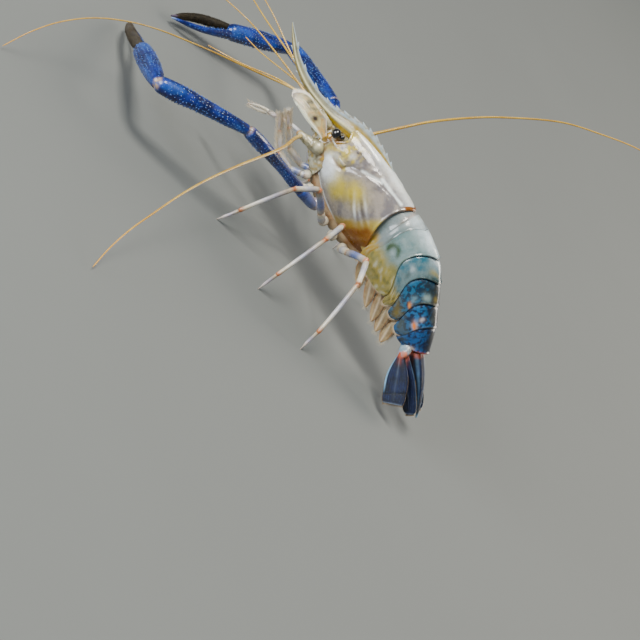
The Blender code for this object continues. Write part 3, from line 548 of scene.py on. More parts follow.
# Lines on the carapace, in x and degrees down from the back
shellLines = {
    "upperGroove": ((-34, 70), (-28, 57), (-22, 45), (-12, 34), (-2, 36)),
    "neckGroove": ((-43, 97), (-39, 93), (-36.5, 88), (-35, 72)),
    "neckFront": ((-43, 97), (-39, 93), (-36.5, 88)),
    "lowerGroove": ((-36.5, 90), (-26, 104), (-10, 112)),
    "backRidge": ((-50, 13), (-44, 15), (-36, 17), (-30, 19)),
    "upperGloss": ((-21.5, 38), (-6, 31)),
    "lowerGloss": ((-30, 60), (-24, 48), (-20, 42)),
    "goldLine": ((-45, 97), (-40, 92), (-35.5, 84)),
    "frontSpot": ((-37.6, 44), (-36.8, 43)),
    "rearSpot": ((-35.2, 42), (-34.2, 40)),
}

# Carapace: one shell from the lower margin of one side over the back to the other
carapace = {
    "x": (-54, -46, -36, -24, -12, -2, 6),
    "top": (63.5, 66.0, 68.0, 69.2, 69.2, 68.6, 66.6),
    "bottom": (44.0, 39.0, 34.0, 31.0, 30.2, 31.5, 34.0),
    "halfWidth": (8.6, 10.2, 12.2, 13.7, 14.2, 13.8, 12.8),
    "marginSteps": (0.0, 0.15, 0.3, 0.45, 0.62, 0.8, 1.0),
    "frontX": (-47.0, -49.0, -46.4, -49.4, -50.2, -42.5, -36.0),
    "rearX": (0.4, -2.2, -4.0, -3.2, 1.0, 4.6, 1.0),
    "lowerEdge": 0.83,
    "rows": 110,
    "columns": 150,
    "thickness": 0.5,
    "mmPerDegree": 0.24,
    "furrows": (  # line, width, height
        ("upperGroove", 1.1, -0.5),
        ("neckGroove", 1.32, -0.65),
        ("lowerGroove", 1.76, -0.25),
        ("backRidge", 0.8, 0.45),
    ),
    "swells": (  # x, degrees, how far it spreads in each, height
        (-14, 92, 14, 34, 0.5),
        (-41, 66, 3, 9, 0.55),
        (-42, 112, 6, 22, 0.5),
    ),
    "patches": (  # mask, x, degrees, how far it spreads in each, strength
        # This pale patch along the back is a painted highlight
        ("pale", -20, 8, 30, 16, 0.85),
        ("pale", -43, 116, 7, 20, 1.6),
        ("pale", -38.5, 62, 1.3, 6, 0.5),
        ("warm", -31, 110, 6, 17, 1.5),
        ("warm", -22.5, 86, 5.5, 15, 1.1),
        ("warm", -41.5, 70, 3.2, 13, 1.1),
        ("warm", -48.5, 100, 2.2, 26, 0.9),
        ("dark", -26, 52, 14, 12, 0.25),
        ("edge", -49, 112, 1.2, 9, 0.7),
    ),
    "streaks": (  # mask, line, width, strength
        ("pale", "upperGloss", 0.6, 0.95),
        ("pale", "lowerGloss", 0.6, 0.7),
        ("pale", "backRidge", 1.0, 0.55),
        ("warm", "goldLine", 0.9, 1.0),
        ("warm", "backRidge", 1.0, 0.8),
        ("dark", "neckGroove", 0.5, 0.45),
        ("dark", "upperGroove", 0.7, 0.35),
        ("edge", "neckFront", 0.7, 0.6),
    ),
    "spots": (("frontSpot", 0.6, 1.3), ("rearSpot", 0.7, 1.1)),  # line, width, strength
    "spines": (  # root, how far outward it points, length, radius
        ((-44.6, 9.0, 54.3), 0.2, 6.4, 1.05),
        ((-37.0, 11.6, 53.4), 0.4, 4.6, 0.95),
    ),
}


def onShell(x, angle):
    return Vector((x, angle * carapace["mmPerDegree"]))


flatLines = {name: [onShell(x, angle) for x, angle in line] for name, line in shellLines.items()}


# How near a place on the carapace is to a line on it
def nearLine(x, angle, name, width):
    line, here = flatLines[name], onShell(x, angle)
    best = math.inf
    for a, b in zip(line, line[1:]):
        share = clamp((here - a).dot(b - a) / (b - a).length_squared)
        best = min(best, (here - a.lerp(b, share)).length)
    return math.exp(-((best / width) ** 2))


# How strong a soft oval patch is at a place
def patch(first, second, middle, secondMiddle, spread, secondSpread, strength):
    return strength * hump(first, middle, spread) * hump(second, secondMiddle, secondSpread)


def carapacePoint(share, angle):
    c = carapace
    down = abs(angle) / 180
    front = along(down, c["marginSteps"], c["frontX"])
    rear = along(down, c["marginSteps"], c["rearX"])
    x = front + (rear - front) * share
    top, bottom = along(x, c["x"], c["top"]), along(x, c["x"], c["bottom"])
    halfWidth = along(x, c["x"], c["halfWidth"])
    turn = math.radians(angle)
    out = Vector((0, math.sin(turn), math.cos(turn)))
    middle = Vector((x, 0, (top + bottom) / 2))
    half = (top - bottom) / 2
    point = middle + Vector((0, halfWidth * out.y, half * out.z))
    steep = abs(angle)
    relief = sum(height * nearLine(x, steep, name, width) for name, width, height in c["furrows"])
    relief += sum(patch(x, steep, *swell) for swell in c["swells"])
    relief += 0.15 * ripple(point, 5.0) + 0.06 * ripple(point, 1.7)
    relief += 0.2 * smoothStep(0.965, 0.985, share) - 0.4 * smoothStep(0.99, 1.0, share)  # rear rim
    relief += 0.25 * smoothStep(0.035, 0.015, share)
    relief += 0.3 * smoothStep(c["lowerEdge"] - 0.02, c["lowerEdge"], down)
    return point + out * relief


def carapaceZones(share, angle):
    c = carapace
    steep = abs(angle)
    x = carapacePoint(share, angle).x
    girth = steep * c["mmPerDegree"]
    masks = {"pale": 0.0, "warm": 0.0, "dark": 0.0, "edge": 0.0}
    for mask, *mark in c["patches"]:
        masks[mask] += patch(x, steep, *mark)
    for mask, name, width, strength in c["streaks"]:
        masks[mask] += strength * nearLine(x, steep, name, width)

    # The rear corner is gold with an orange rim
    beyond = x + 5 + 0.2 * (steep - 75) + 1.5 * ripple((x, girth, 7), 3.0)
    masks["warm"] += 0.9 * smoothStep(-3, 4, beyond) * smoothStep(58, 80, steep)
    masks["edge"] += 0.95 * smoothStep(-2, 7, beyond) * smoothStep(80, 102, steep)
    masks["dark"] += 0.3 * smoothStep(-4, -14, beyond) * hump(x, -8, 12) * hump(steep, 104, 22)
    masks["edge"] += 1.0 * smoothStep(0.95, 0.965, share) * smoothStep(36, 26, steep)
    rim = smoothStep(0.972, 0.988, share)
    masks["dark"] += 0.8 * rim * smoothStep(28, 38, steep) * smoothStep(70, 56, steep)
    masks["pale"] += 0.6 * smoothStep(c["lowerEdge"] - 0.03, c["lowerEdge"], steep / 180)

    # Soft stripes below the gold
    fan = hump(x, -14, 7) * hump(steep, 92, 18)
    lean = steep - 1.45 * (x + 15)
    stripes = 2.4 * noise.noise(Vector((lean / 6.5, x / 16, 3.0)))
    masks["pale"] += 0.4 * fan * max(0.0, stripes)
    masks["dark"] += 0.45 * fan * max(0.0, -stripes)

    # The front is mottled, with gold above the eye and orange below
    spots = sum(strength * nearLine(x, steep, name, width) for name, width, strength in c["spots"])
    masks["pale"] = masks["pale"] * (0.25 + 0.75 * smoothStep(-47.0, -43.5, x)) - spots
    masks["warm"] += 0.9 * smoothStep(-42.5, -46, x) * hump(steep, 36, 18)
    masks["edge"] += 0.8 * smoothStep(-44.5, -47, x) * hump(steep, 74, 14)
    front = hump(x, -41, 7) * hump(steep, 60, 32)
    masks["dark"] += spots + 2.6 * max(0.0, ripple((x, girth, 2), 1.3) - 0.1) * front
    masks["warm"] += 3.0 * max(0.0, ripple((x, girth, 11), 2.0) - 0.02) * front
    return tuple(clamp(value) for value in masks.values())


# A curved spine with a round root, from root towards a direction, bending to another
def addSpine(
    build, root, direction, length, radius,
    bend=(0, 0, 0), count=6, rings=4, zone=noZone, tipZone=None,
):
    direction = Vector(direction).normalized()
    across = direction.orthogonal().normalized()
    other = direction.cross(across)
    rows, marks = [], []
    for k in range(rings + 1):
        t = k / rings
        centre = Vector(root) + direction * length * t + Vector(bend) * t * t
        rows.append(circle(centre, across, other, radius * (1 - t) ** 0.8 + 0.02, count))
        marks.append([mixZones(zone, tipZone or zone, t)] * count)
    addGrid(build, rows, marks, closed=True)


carapacePaint = shellMaterial(
    "carapaceShell",
    base=(152, 143, 132),
    shade=(116, 111, 112),
    pale=(250, 254, 248),
    warm=(186, 166, 56),
    dark=(62, 56, 50),
    edge=(126, 72, 0),
    speck=(128, 96, 50),
    mottleScale=150.0,
    mottleSpan=(0.4, 0.62),
    ragged=0.9,
    zoneScale=200.0,
    speckScale=1300.0,
    speckShare=0.4,
    wet=0.1,
    dry=0.3,
)


def makeCarapace():
    c = carapace
    build = newBuild()
    widest = c["lowerEdge"] * 180
    angles = [-widest + 2 * widest * k / c["columns"] for k in range(c["columns"] + 1)]
    shares = [0.5 - 0.5 * math.cos(math.pi * k / c["rows"]) for k in range(c["rows"] + 1)]
    rows = [[carapacePoint(share, angle) for angle in angles] for share in shares]
    zones = [[carapaceZones(share, angle) for angle in angles] for share in shares]
    addGrid(build, rows, zones)
    makePiece(
        "carapaceShell", build, carapacePaint, ["carapace"], thickness=c["thickness"],
    )
    spines = newBuild()
    for side in sides.values():
        for root, outward, length, radius in c["spines"]:
            addSpine(
                spines, onSide(root, side), (-1, side * outward, 0.03), length, radius,
                bend=(0, -side * 0.3, 0.3), count=10, rings=8,
                zone=(0.0, 0.5, 0.0, 0.0), tipZone=(0.6, 0.0, 0.0, 0.0),
            )
    makePiece("carapaceSpines", spines, carapacePaint, ["carapace"])


makeCarapace()
print("carapace made")

# Abdomen: six overlapping shells
abdomen = {
    "backX": (1.6, 10.9, 26.2, 36.9, 45.5, 54.1, 62.9),
    "backZ": (68.2, 68.0, 65.2, 59.0, 51.9, 44.9, 34.6),
    "edgeX": (3.0, 11.6, 22.5, 30.5, 38.5, 46.4, 52.2),
    "edgeZ": (33.4, 33.2, 33.2, 32.6, 30.8, 28.4, 27.6),
    "halfWidth": (12.6, 13.2, 13.2, 11.8, 10.1, 8.5, 6.3),
    "plateRise": (4.5, 3.0, 4.0, 4.5, 4.5, 0.0),
    "lobeReach": (0.0, -5.0, 4.5, 1.8, 1.4, 1.2, 0.0),
    "notchReach": (0.0, -5.3, -7.1, -6.8, -3.9, -1.6, 0.0),
    "notchDepth": 0.85,
    "notchSkew": 0.65,
    "bellyRise": 0.27,
    "bend": 0.56,
    "rows": 34,
    "columns": 112,
    "thickness": 0.4,
    "tuck": 0.16,
    "fringeStep": 0.011,
    "fringeLength": 1.3,
    "seed": 17,
}

# Base, shade, pale, warm, dark and edge colour of each plate
abdomenColours = (
    ((120, 131, 131), (98, 115, 114), (214, 226, 228), (160, 134, 48), (70, 82, 72), (164, 90, 14)),
    ((124, 144, 142), (96, 124, 124), (226, 240, 244), (154, 138, 62), (62, 82, 58), (8, 14, 20)),
    ((104, 128, 130), (34, 98, 116), (200, 210, 212), (156, 138, 62), (30, 46, 40), (8, 12, 12)),
    ((18, 94, 130), (2, 40, 66), (150, 172, 166), (230, 140, 50), (20, 26, 20), (122, 106, 44)),
    ((24, 96, 146), (2, 30, 62), (214, 196, 184), (238, 128, 44), (16, 22, 22), (76, 88, 86)),
    ((12, 80, 138), (0, 24, 60), (186, 166, 150), (214, 84, 14), (14, 20, 26), (70, 84, 84)),
)

# Markings and painted highlights of each plate: mask, share, reach, how far they spread in each, strength
plateMarks = {
    1: (
        # A painted highlight along the back
        ("pale", 0.5, 0.1, 0.6, 0.12, 0.75),
        ("edge", -0.05, 0.1, 0.12, 0.2, 0.25),
        ("dark", 0.0, 0.3, 0.07, 0.1, 0.7),
        ("dark", 0.97, 0.34, 0.06, 0.16, 0.45),
        ("dark", 0.9, 0.5, 0.1, 0.07, 0.55),
    ),
    2: (
        # A painted highlight along the back
        ("pale", 0.4, 0.04, 0.55, 0.14, 0.9),
        ("pale", 0.46, 0.56, 0.1, 0.028, 0.15),
        ("dark", 0.1, 0.52, 0.1, 0.09, 0.4),
        ("dark", 0.98, 0.5, 0.05, 0.16, 0.75),
        ("dark", 0.86, 0.66, 0.16, 0.05, 0.35),
        ("edge", 0.97, 0.12, 0.035, 0.16, 1.0),
    ),
    3: (
        # A painted highlight along the back
        ("pale", 0.15, 0.06, 0.3, 0.09, 0.85),
        ("pale", 0.5, 0.42, 0.2, 0.03, 0.4),
        ("dark", 0.62, 0.5, 0.12, 0.05, 0.5),
        ("warm", 0.66, 0.12, 0.14, 0.08, 0.75),
        ("dark", 0.98, 0.1, 0.2, 0.2, 1.0),
        ("dark", 0.97, 0.42, 0.06, 0.16, 0.7),
        ("dark", 0.5, 0.66, 0.4, 0.05, 0.35),
        ("edge", 0.99, 0.3, 0.03, 0.3, 0.8),
    ),
    4: (
        ("dark", 0.5, 0.1, 0.7, 0.2, 1.1),
        ("dark", 0.97, 0.3, 0.07, 0.3, 0.9),
        ("pale", 0.74, 0.27, 0.16, 0.07, 0.75),
        ("pale", 0.7, 0.48, 0.16, 0.06, 0.45),
        ("warm", 0.86, 0.57, 0.13, 0.035, 1.2),
        ("edge", 0.72, 0.11, 0.16, 0.05, 0.85),
        ("edge", 0.5, 0.84, 0.6, 0.12, 0.8),
    ),
    5: (
        ("dark", 0.5, 0.09, 0.7, 0.18, 1.1),
        ("dark", 0.98, 0.3, 0.05, 0.3, 0.9),
        ("pale", 0.8, 0.54, 0.2, 0.06, 0.75),
        # A painted highlight on the flank
        ("pale", 0.64, 0.38, 0.09, 0.05, 0.6),
        ("warm", 0.8, 0.54, 0.15, 0.032, 1.5),
        ("edge", 0.65, 0.17, 0.12, 0.04, 0.6),
        ("edge", 0.5, 0.82, 0.8, 0.14, 0.85),
    ),
    6: (
        ("dark", 0.5, 0.09, 0.7, 0.2, 1.1),
        ("dark", 0.72, 0.42, 0.1, 0.05, 0.8),
        ("dark", 0.3, 0.56, 0.1, 0.04, 0.6),
        ("pale", 0.9, 0.66, 0.12, 0.12, 0.75),
        ("warm", 1.0, 0.1, 0.05, 0.3, 1.2),
        ("warm", 1.0, 0.66, 0.03, 0.1, 0.7),
        ("edge", 0.3, 0.85, 0.4, 0.1, 0.6),
    ),
}
abdomenPaints = [
    shellMaterial(
        f"abdomenShell{index + 1}",
        mottleScale=150.0 if index < 3 else 480.0,
        mottleSpan=(0.38, 0.66) if index < 3 else (0.43, 0.56),
        zoneScale=240.0 if index < 3 else 420.0,
        speckScale=1400.0,
        ragged=0.9,
        wet=0.14 if index < 3 else 0.3,
        dry=0.36 if index < 3 else 0.5,
        **dict(zip(paints, colours)),
    )
    for index, colours in enumerate(abdomenColours)
]


def segmentFrame(place):
    a = abdomen
    marks = list(range(len(a["backX"])))
    back = Vector((along(place, marks, a["backX"]), 0, along(place, marks, a["backZ"])))
    edge = Vector((along(place, marks, a["edgeX"]), 0, along(place, marks, a["edgeZ"])))
    upward = (back - edge).normalized()
    return edge, upward, Vector((upward.z, 0, -upward.x)), (back - edge).length


# A place on a segment's shell: share runs from its front to its rear,
# reach from the back at 0 to the lower edge at 1
def platePoint(number, share, reach, side):
    a = abdomen
    flank = smoothStep(0.3, 0.55, reach)
    if number == 1 and share < 0:
        share *= 1 - 0.4 * smoothStep(0.6, 0.8, reach)
    place = clamp(number - 1 + share, 0, 6)
    edge, upward, forward, height = segmentFrame(place)
    width = along(place, list(range(7)), a["halfWidth"])
    inside = clamp(share)
    lip = (0.35 if number == 2 else 0.0) * (1 - inside) + (0.35 if number > 1 else 0.1) * inside
    lip += 0.3 * (1 - 0.8 * flank) * smoothStep(0.9, 0.97, share) - 0.5 * smoothStep(0.985, 1.0, share)
    lip -= 0.75 * (1 - 0.6 * flank) * smoothStep(0.1, -0.02, share) if number != 2 else 0.0
    lip -= 1.3 * flank * smoothStep(0.0, -0.25, share)
    width += lip
    lobe = 1 - abs(2 * inside - 1) ** 3 if number < 6 else 1.0
    low = a["plateRise"][number - 1] * (1 - lobe)
    shoulder = height * 0.52
    crown = height + lip - shoulder
    bend = a["bend"]
    if reach < bend:
        turn = math.pi / 2 * reach / bend
        y, up = width * math.sin(turn), shoulder + crown * math.cos(turn)
    else:
        t = (reach - bend) / (1 - bend)
        y, up = width * (1 - 0.10 * t * t), shoulder + (low - shoulder) * t
    fall = smoothStep(0.0, 1.0, (height * 0.62 - up) / (height * 0.45))
    notch = math.sin(math.pi * clamp((1 - up / height) / a["notchDepth"]) ** a["notchSkew"])
    slide = mix(a["lobeReach"][number - 1], a["lobeReach"][number], inside) * fall
    slide += mix(a["notchReach"][number - 1], a["notchReach"][number], inside) * notch
    tuck = (share - inside) * height * 0.28
    return edge + upward * up + forward * (slide + tuck) + Vector((0, y * side, 0))


def plateZones(number, share, reach):
    masks = {"pale": 0.0, "warm": 0.0, "dark": 0.0, "edge": 0.0}
    for mask, *mark in plateMarks[number]:
        masks[mask] += patch(share, reach, *mark)
    if number < 4:
        wander = 0.05 * noise.noise(Vector((share * 3 + number * 3.0, reach * 7, 4.0)))
        masks["warm"] += 0.9 * smoothStep(0.56, 0.72, reach + wander - (0.1 if number == 3 else 0.0))
        low = smoothStep(0.6, 0.8, reach)
        clouds = ripple((share * 9 + number, reach * 14, 2), 1.0)
        masks["edge" if number == 1 else "dark"] += 0.5 * smoothStep(0.05, 0.5, clouds) * low
        masks["pale"] += 0.22 * smoothStep(0.05, 0.6, -clouds) * low
    if number == 2:  # the dark ring low on the flank, open towards the belly
        across, down = (share - 0.42) / 0.23, (reach - 0.55) / 0.07
        openSide = smoothStep(-1.0, 0.2, -down - 0.5 * across)
        masks["dark"] += 0.9 * hump(math.hypot(across, down), 1.0, 0.4) * openSide
    if number > 3:
        masks["pale"] *= 1 - clamp(1.3 * masks["warm"])
    return tuple(clamp(value) for value in masks.values())


def makePlate(number):
    a = abdomen
    front = {1: -0.8, 2: 0.0}.get(number, -a["tuck"])
    steps = [1 - 2 * k / a["columns"] for k in range(a["columns"] + 1)]
    build = newBuild()
    rows, zones = [], []
    for k in range(a["rows"] + 1):
        share = mix(front, 1, 0.5 - 0.5 * math.cos(math.pi * k / a["rows"]))
        row = []
        for step in steps:
            point = platePoint(number, share, abs(step), 1 if step > 0 else -1)
            point.z += 0.09 * ripple(point, 3.5) + 0.04 * ripple(point, 1.2)
            row.append(point)
        rows.append(row)
        zones.append([plateZones(number, share, abs(step)) for step in steps])
    addGrid(build, rows, zones)
    makePiece(
        f"abdomenPlate{number}", build, abdomenPaints[number - 1],
        [f"abdomen_{number}"], thickness=a["thickness"],
    )


# Bristles along the lower margin of both sides
def makePlateFringe(number, draw):
    a = abdomen
    fringe = newBuild()
    for side in sides.values():
        for k in range(round(0.8 / a["fringeStep"])):
            share = 0.1 + k * a["fringeStep"]
            root = platePoint(number, share, 0.995, side)
            down = (root - platePoint(number, share, 0.9, side)).normalized()
            heading = down + Vector((draw.uniform(0.1, 0.5), 0.25 * side, 0))
            length = a["fringeLength"] * draw.uniform(0.6, 1.1)
            place = (0.1 + 0.8 * share, 0.5 + 0.3 * side)
            addBristle(fringe, root, heading, length, 0.055, (0.2, 0, 0), place, (0.2, 0.3, 0, 0))
    makePiece(f"abdomenFringe{number}", fringe, bristlePaint, [f"abdomen_{number}"])


def makeAbdomen():
    draw = random.Random(abdomen["seed"])
    for number in range(1, 7):
        makePlate(number)
        if number < 6:
            makePlateFringe(number, draw)


makeAbdomen()
print("abdomen made")

# Bars and articles: closed tubes round a route
def frameAlong(points, reference):
    frames = []
    across = Vector(reference)
    last = len(points) - 1
    for k, point in enumerate(points):
        ahead = (points[min(k + 1, last)] - points[max(k - 1, 0)]).normalized()
        across = (across - ahead * across.dot(ahead)).normalized()
        frames.append((point, ahead, across, ahead.cross(across)))
    return frames


def addBar(
    build, points, radiusAt, count=12,
    zoneAt=None, flatten=1.0, reference=(0, 0, 1), floor=None,
):
    rows, zones = [], []
    last = len(points) - 1
    for k, (point, ahead, across, other) in enumerate(frameAlong(points, reference)):
        t = k / last
        row, marks = [], []
        for i in range(count):
            a = 2 * math.pi * i / count
            size = radiusAt(t, a)
            place = point + across * math.cos(a) * size + other * math.sin(a) * size * flatten
            if floor is not None:
                place.z = max(place.z, floor)
            row.append(place)
            marks.append(zoneAt(t, a) if zoneAt else noZone)
        rows.append(row)
        zones.append(marks)
    addGrid(build, rows, zones, closed=True)


# Radius of an article that is rounded at both ends
def roundedEnds(t, roundStart, roundEnd):
    size = 1.0
    if t < roundStart:
        size *= math.sqrt(max(0.0, 1 - (1 - t / roundStart) ** 2))
    if t > 1 - roundEnd:
        size *= math.sqrt(max(0.0, 1 - ((t - 1 + roundEnd) / roundEnd) ** 2))
    return max(size, 0.06)


def addArticle(
    build, start, end, radii, step=0.9, count=16, bow=0.0, flatten=1.0,
    zoneAt=None, rough=0.03, overshoot=0.4, floor=None,
):
    start, end = Vector(start), Vector(end)
    ahead = (end - start).normalized()
    across = ahead.cross(Vector((0, 0, 1)))
    across = across.normalized() if across.length > 0.01 else Vector((1, 0, 0))
    lift = across.cross(ahead).normalized()
    first, final = start - ahead * radii[0] * overshoot, end + ahead * radii[-1] * overshoot
    length = (final - first).length
    rings = max(8, round(length / step))
    ease = [0.5 - 0.5 * math.cos(math.pi * k / rings) for k in range(rings + 1)]
    shares = [0.4 * e + 0.6 * k / rings for k, e in enumerate(ease)]
    points = [first.lerp(final, t) + lift * bow * math.sin(math.pi * t) for t in shares]
    roundStart, roundEnd = radii[0] / length, radii[-1] / length

    def radiusAt(t, a):
        t = shares[round(t * rings)]
        wave = 1 + rough * ripple(first + Vector((t * 9, math.cos(a) * 2, math.sin(a) * 2)), 1.4)
        return graded(radii, t) * roundedEnds(t, roundStart, roundEnd) * wave

    def zones(t, a):
        return zoneAt(shares[round(t * rings)], a) if zoneAt else noZone

    addBar(build, points, radiusAt, count, zones, flatten, lift, floor)


# Thorax, head and belly: what the shells cover
trunk = {
    "headX": (-60.0, -58.6, -57.0, -52.0, -46.2, -42.0),
    "headTop": (52.6, 54.6, 55.8, 57.0, 59.0, 60.5),
    "headBottom": (48.6, 44.6, 41.5, 37.0, 34.0, 33.0),
    "headHalfWidth": (2.6, 5.0, 6.6, 8.6, 9.2, 9.4),
    "chestX": (-46.5, -44.5, -38.0, -24.0, -10.0, 3.0, 8.0),
    "chestTop": (44.0, 46.0, 42.0, 40.0, 40.0, 40.0, 40.0),
    "chestBottom": (36.5, 33.4, 29.4, 26.8, 26.2, 29.0, 34.0),
    "chestHalfWidth": (1.5, 3.4, 5.0, 6.2, 6.6, 6.0, 5.0),
    "headGrid": (0.4, 72),  # step along the body, columns round it
    "chestGrid": (0.9, 40),
    "ribStep": 8.3,
    "bellyRings": 90,
    "bellyColumns": 44,
    "bellyEnds": (0.02, 5.92),
}

headPaint = shellMaterial(
    "headShell",
    base=(164, 154, 112),
    shade=(122, 116, 88),
    pale=(226, 222, 192),
    warm=(180, 108, 20),
    dark=(44, 40, 34),
    edge=(192, 158, 60),
    speck=(120, 78, 40),
    mottleScale=300.0,
    zoneScale=420.0,
    speckShare=0.45,
    speckScale=1700.0,
)

chestPaint = shellMaterial(
    "chestSkin",
    base=(186, 158, 118),
    shade=(150, 122, 90),
    pale=(226, 214, 190),
    warm=(186, 104, 36),
    dark=(84, 60, 46),
    mottleScale=240.0,
)


def ovalRows(stations, tops, bottoms, halfWidths, grid, relief):
    rows = []
    step, count = grid
    rings = max(6, round((stations[-1] - stations[0]) / step))
    for k in range(rings + 1):
        x = mix(stations[0], stations[-1], k / rings)
        top, bottom = along(x, stations, tops), along(x, stations, bottoms)
        halfWidth = along(x, stations, halfWidths)
        row = []
        for i in range(count):
            a = 2 * math.pi * i / count
            out = Vector((0, math.sin(a), math.cos(a)))
            point = Vector((x, halfWidth * out.y, (top + bottom) / 2 + (top - bottom) / 2 * out.z))
            row.append(point + out * relief(point, a))
        rows.append(row)
    return rows


def headRelief(point, _):
    seams = -0.5 * hump(point.x, -55.2, 0.7) - 0.4 * hump(point.x, -50.5, 0.5)
    return seams + 0.5 * ripple(point, 2.2) + 0.2 * ripple(point, 0.9)


def headZones(point):
    cloud, spots = ripple(point, 1.6), ripple(point + Vector((9, 0, 0)), 1.3)
    pale = 0.4 * smoothStep(46, 38, point.z) + 1.3 * max(0.0, cloud)
    warm = 0.8 * hump(point.z, 53.0, 3.0) * hump(point.x, -51, 4) + 0.5 * hump(point.z, 45, 2.2)
    dark = 0.8 * hump(point.x, -55.2, 0.6) + 0.5 * hump(point.x, -50.5, 0.5)
    dark += 1.5 * max(0.0, spots - 0.1)
    return (clamp(pale), clamp(warm), clamp(dark), clamp(-1.6 * cloud))


def chestRelief(point, a):
    ribs = math.cos(point.x * 2 * math.pi / trunk["ribStep"])
    return 0.4 * ribs * hump(a, math.pi, 1.0) + 0.2 * ripple(point, 2.4)


def bellyRow(place):
    t = trunk
    edge, upward, _, height = segmentFrame(place)
    width = along(place, list(range(7)), abdomen["halfWidth"]) * 0.8
    low = height * mix(abdomen["bellyRise"] + 0.02, 0.06, smoothStep(4.8, 5.4, place))
    shoulder, high = height * 0.6, height * 0.84
    rib = 0.35 * math.cos(2 * math.pi * (place - 0.45))
    row = []
    for i in range(t["bellyColumns"]):
        a = 2 * math.pi * i / t["bellyColumns"]
        up = shoulder + (high - shoulder if math.cos(a) > 0 else shoulder - low) * math.cos(a)
        up -= rib * hump(a, math.pi, 0.8)
        row.append(edge + upward * up + Vector((0, width * math.sin(a), 0)))
    return row


def makeTrunk():
    t = trunk
    build = newBuild()
    shape = (t["headX"], t["headTop"], t["headBottom"], t["headHalfWidth"], t["headGrid"])
    rows = ovalRows(*shape, headRelief)
    addGrid(build, rows, [[headZones(point) for point in row] for row in rows], closed=True)
    makePiece("headCore", build, headPaint, ["head"])
    build = newBuild()
    shape = (t["chestX"], t["chestTop"], t["chestBottom"], t["chestHalfWidth"], t["chestGrid"])
    rows = ovalRows(*shape, chestRelief)
    zones = [[(0.0, clamp(0.5 * ripple(p, 3.5)), 0.0, 0.0) for p in row] for row in rows]
    addGrid(build, rows, zones, closed=True)
    rings = t["bellyRings"]
    rows = [bellyRow(mix(*t["bellyEnds"], k / rings)) for k in range(rings + 1)]
    zones = [[(0.0, clamp(0.35 + 0.5 * ripple(p, 4.0)), 0.0, 0.0) for p in row] for row in rows]
    addGrid(build, rows, zones, closed=True)
    makePiece("chestAndBelly", build, chestPaint, ["thorax"])


makeTrunk()
print("head, chest and belly made")

# Rostrum: a thin blade with a lateral ridge and saw teeth, hairs between the teeth
rostrum = {
    "x": (-110, -104, -94, -82, -70, -60, -50, -40, -30, -22),
    "top": (66.4, 64.0, 60.2, 58.6, 59.6, 63.0, 68.4, 70.6, 70.6, 69.6),
    "bottom": (65.8, 61.6, 56.4, 53.6, 54.2, 55.6, 58.2, 61.2, 66.0, 68.0),
    "halfWidth": (0.3, 0.6, 0.9, 1.1, 1.3, 1.6, 1.9, 1.8, 1.4, 0.8),
    "ridge": 0.42,
    "upperTeeth": (-26, -30.5, -35, -39.5, -44, -48.5, -53, -57.5, -62.5, -69, -78, -89, -100),
    "lowerTeeth": (-61, -66, -71.5, -77, -83, -89, -95, -100.5),
    "toothLength": 4.2,
    "toothWidth": 1.3,
    "toothThickness": 0.42,
    "toothRise": 0.42,
    "rings": 180,
    "columns": 9,
    "edgeHalfWidth": 0.2,
    "hairs": 320,
    "hairSpan": (-70, -28),
    "hairLength": 1.0,
    "hairRadius": 0.05,
    "seed": 3,
}

rostrumPaint = shellMaterial(
    "rostrumShell",
    base=(142, 138, 108),
    shade=(108, 106, 82),
    pale=(240, 234, 184),
    warm=(168, 138, 0),
    dark=(70, 62, 46),
    edge=(168, 186, 196),
    speck=(120, 90, 30),
    mottleScale=260.0,
    zoneScale=380.0,
    ragged=0.4,
    speckShare=0.3,
)


# A flat tooth: round in outline from the side and thin across
def addTooth(build, root, direction, length, width, thickness, curve, zone, tipZone):
    direction = Vector(direction).normalized()
    across = Vector((0, 1, 0))
    rise = across.cross(direction).normalized()
    rings, count = 8, 10
    rows, zones = [], []
    for k in range(rings + 1):
        t = k / rings
        centre = Vector(root) + direction * length * t + rise * curve * t * t
        half = width * (1 - t) ** 0.75 + 0.05
        thin = thickness / 2 * (1 - t) ** 0.6 + 0.04
        rows.append(circle(centre, rise * half, across * thin, 1.0, count))
        zones.append([mixZones(zone, tipZone, t)] * count)
    addGrid(build, rows, zones, closed=True)


# Masks of the blade at x, where v runs from its upper edge at 0 to its lower edge at 1
def rostrumZones(x, v, ridgeAt):
    ridge = hump(v, ridgeAt, 0.09)
    nearEye = smoothStep(-78, -60, x)
    gold = (0.35 + 0.65 * nearEye) * smoothStep(ridgeAt + 0.05, ridgeAt + 0.2, v) * (1 - ridge)
    gold += 0.9 * hump(v, 0.34, 0.12) * smoothStep(-62, -52, x)
    dark = 0.5 * hump(v, 1.0, 0.08) * nearEye + 0.3 * hump(v, ridgeAt - 0.2, 0.07)
    return (clamp(0.95 * ridge), clamp(gold), clamp(dark), clamp(0.85 * smoothStep(0.24, 0.04, v)))


def addRostrumBlade(build):
    r = rostrum
    rows, zones = [], []
    rings, columns, ridgeAt = r["rings"], r["columns"], 1 - r["ridge"]
    thin = r["edgeHalfWidth"]
    for k in range(rings + 1):
        x = mix(r["x"][0], r["x"][-1], k / rings)
        top, bottom = along(x, r["x"], r["top"]), along(x, r["x"], r["bottom"])
        width = along(x, r["x"], r["halfWidth"])
        near, far, marks = [], [], []
        for i in range(columns + 1):
            v = i / columns
            spread = (v / ridgeAt) ** 1.8 if v < ridgeAt else ((1 - v) / (1 - ridgeAt)) ** 1.4
            y = thin + (width - thin) * max(spread, 0.0)
            if i in (0, columns):
                y *= 0.6
            z = mix(top, bottom, v) + 0.06 * ripple((x, v * 8, 3), 1.5)
            near.append(Vector((x, y, z)))
            far.append(Vector((x, -y, z)))
            marks.append(rostrumZones(x, v, ridgeAt))
        rows.append(near + far[::-1])
        zones.append(marks + marks[::-1])
    addGrid(build, rows, zones, closed=True)


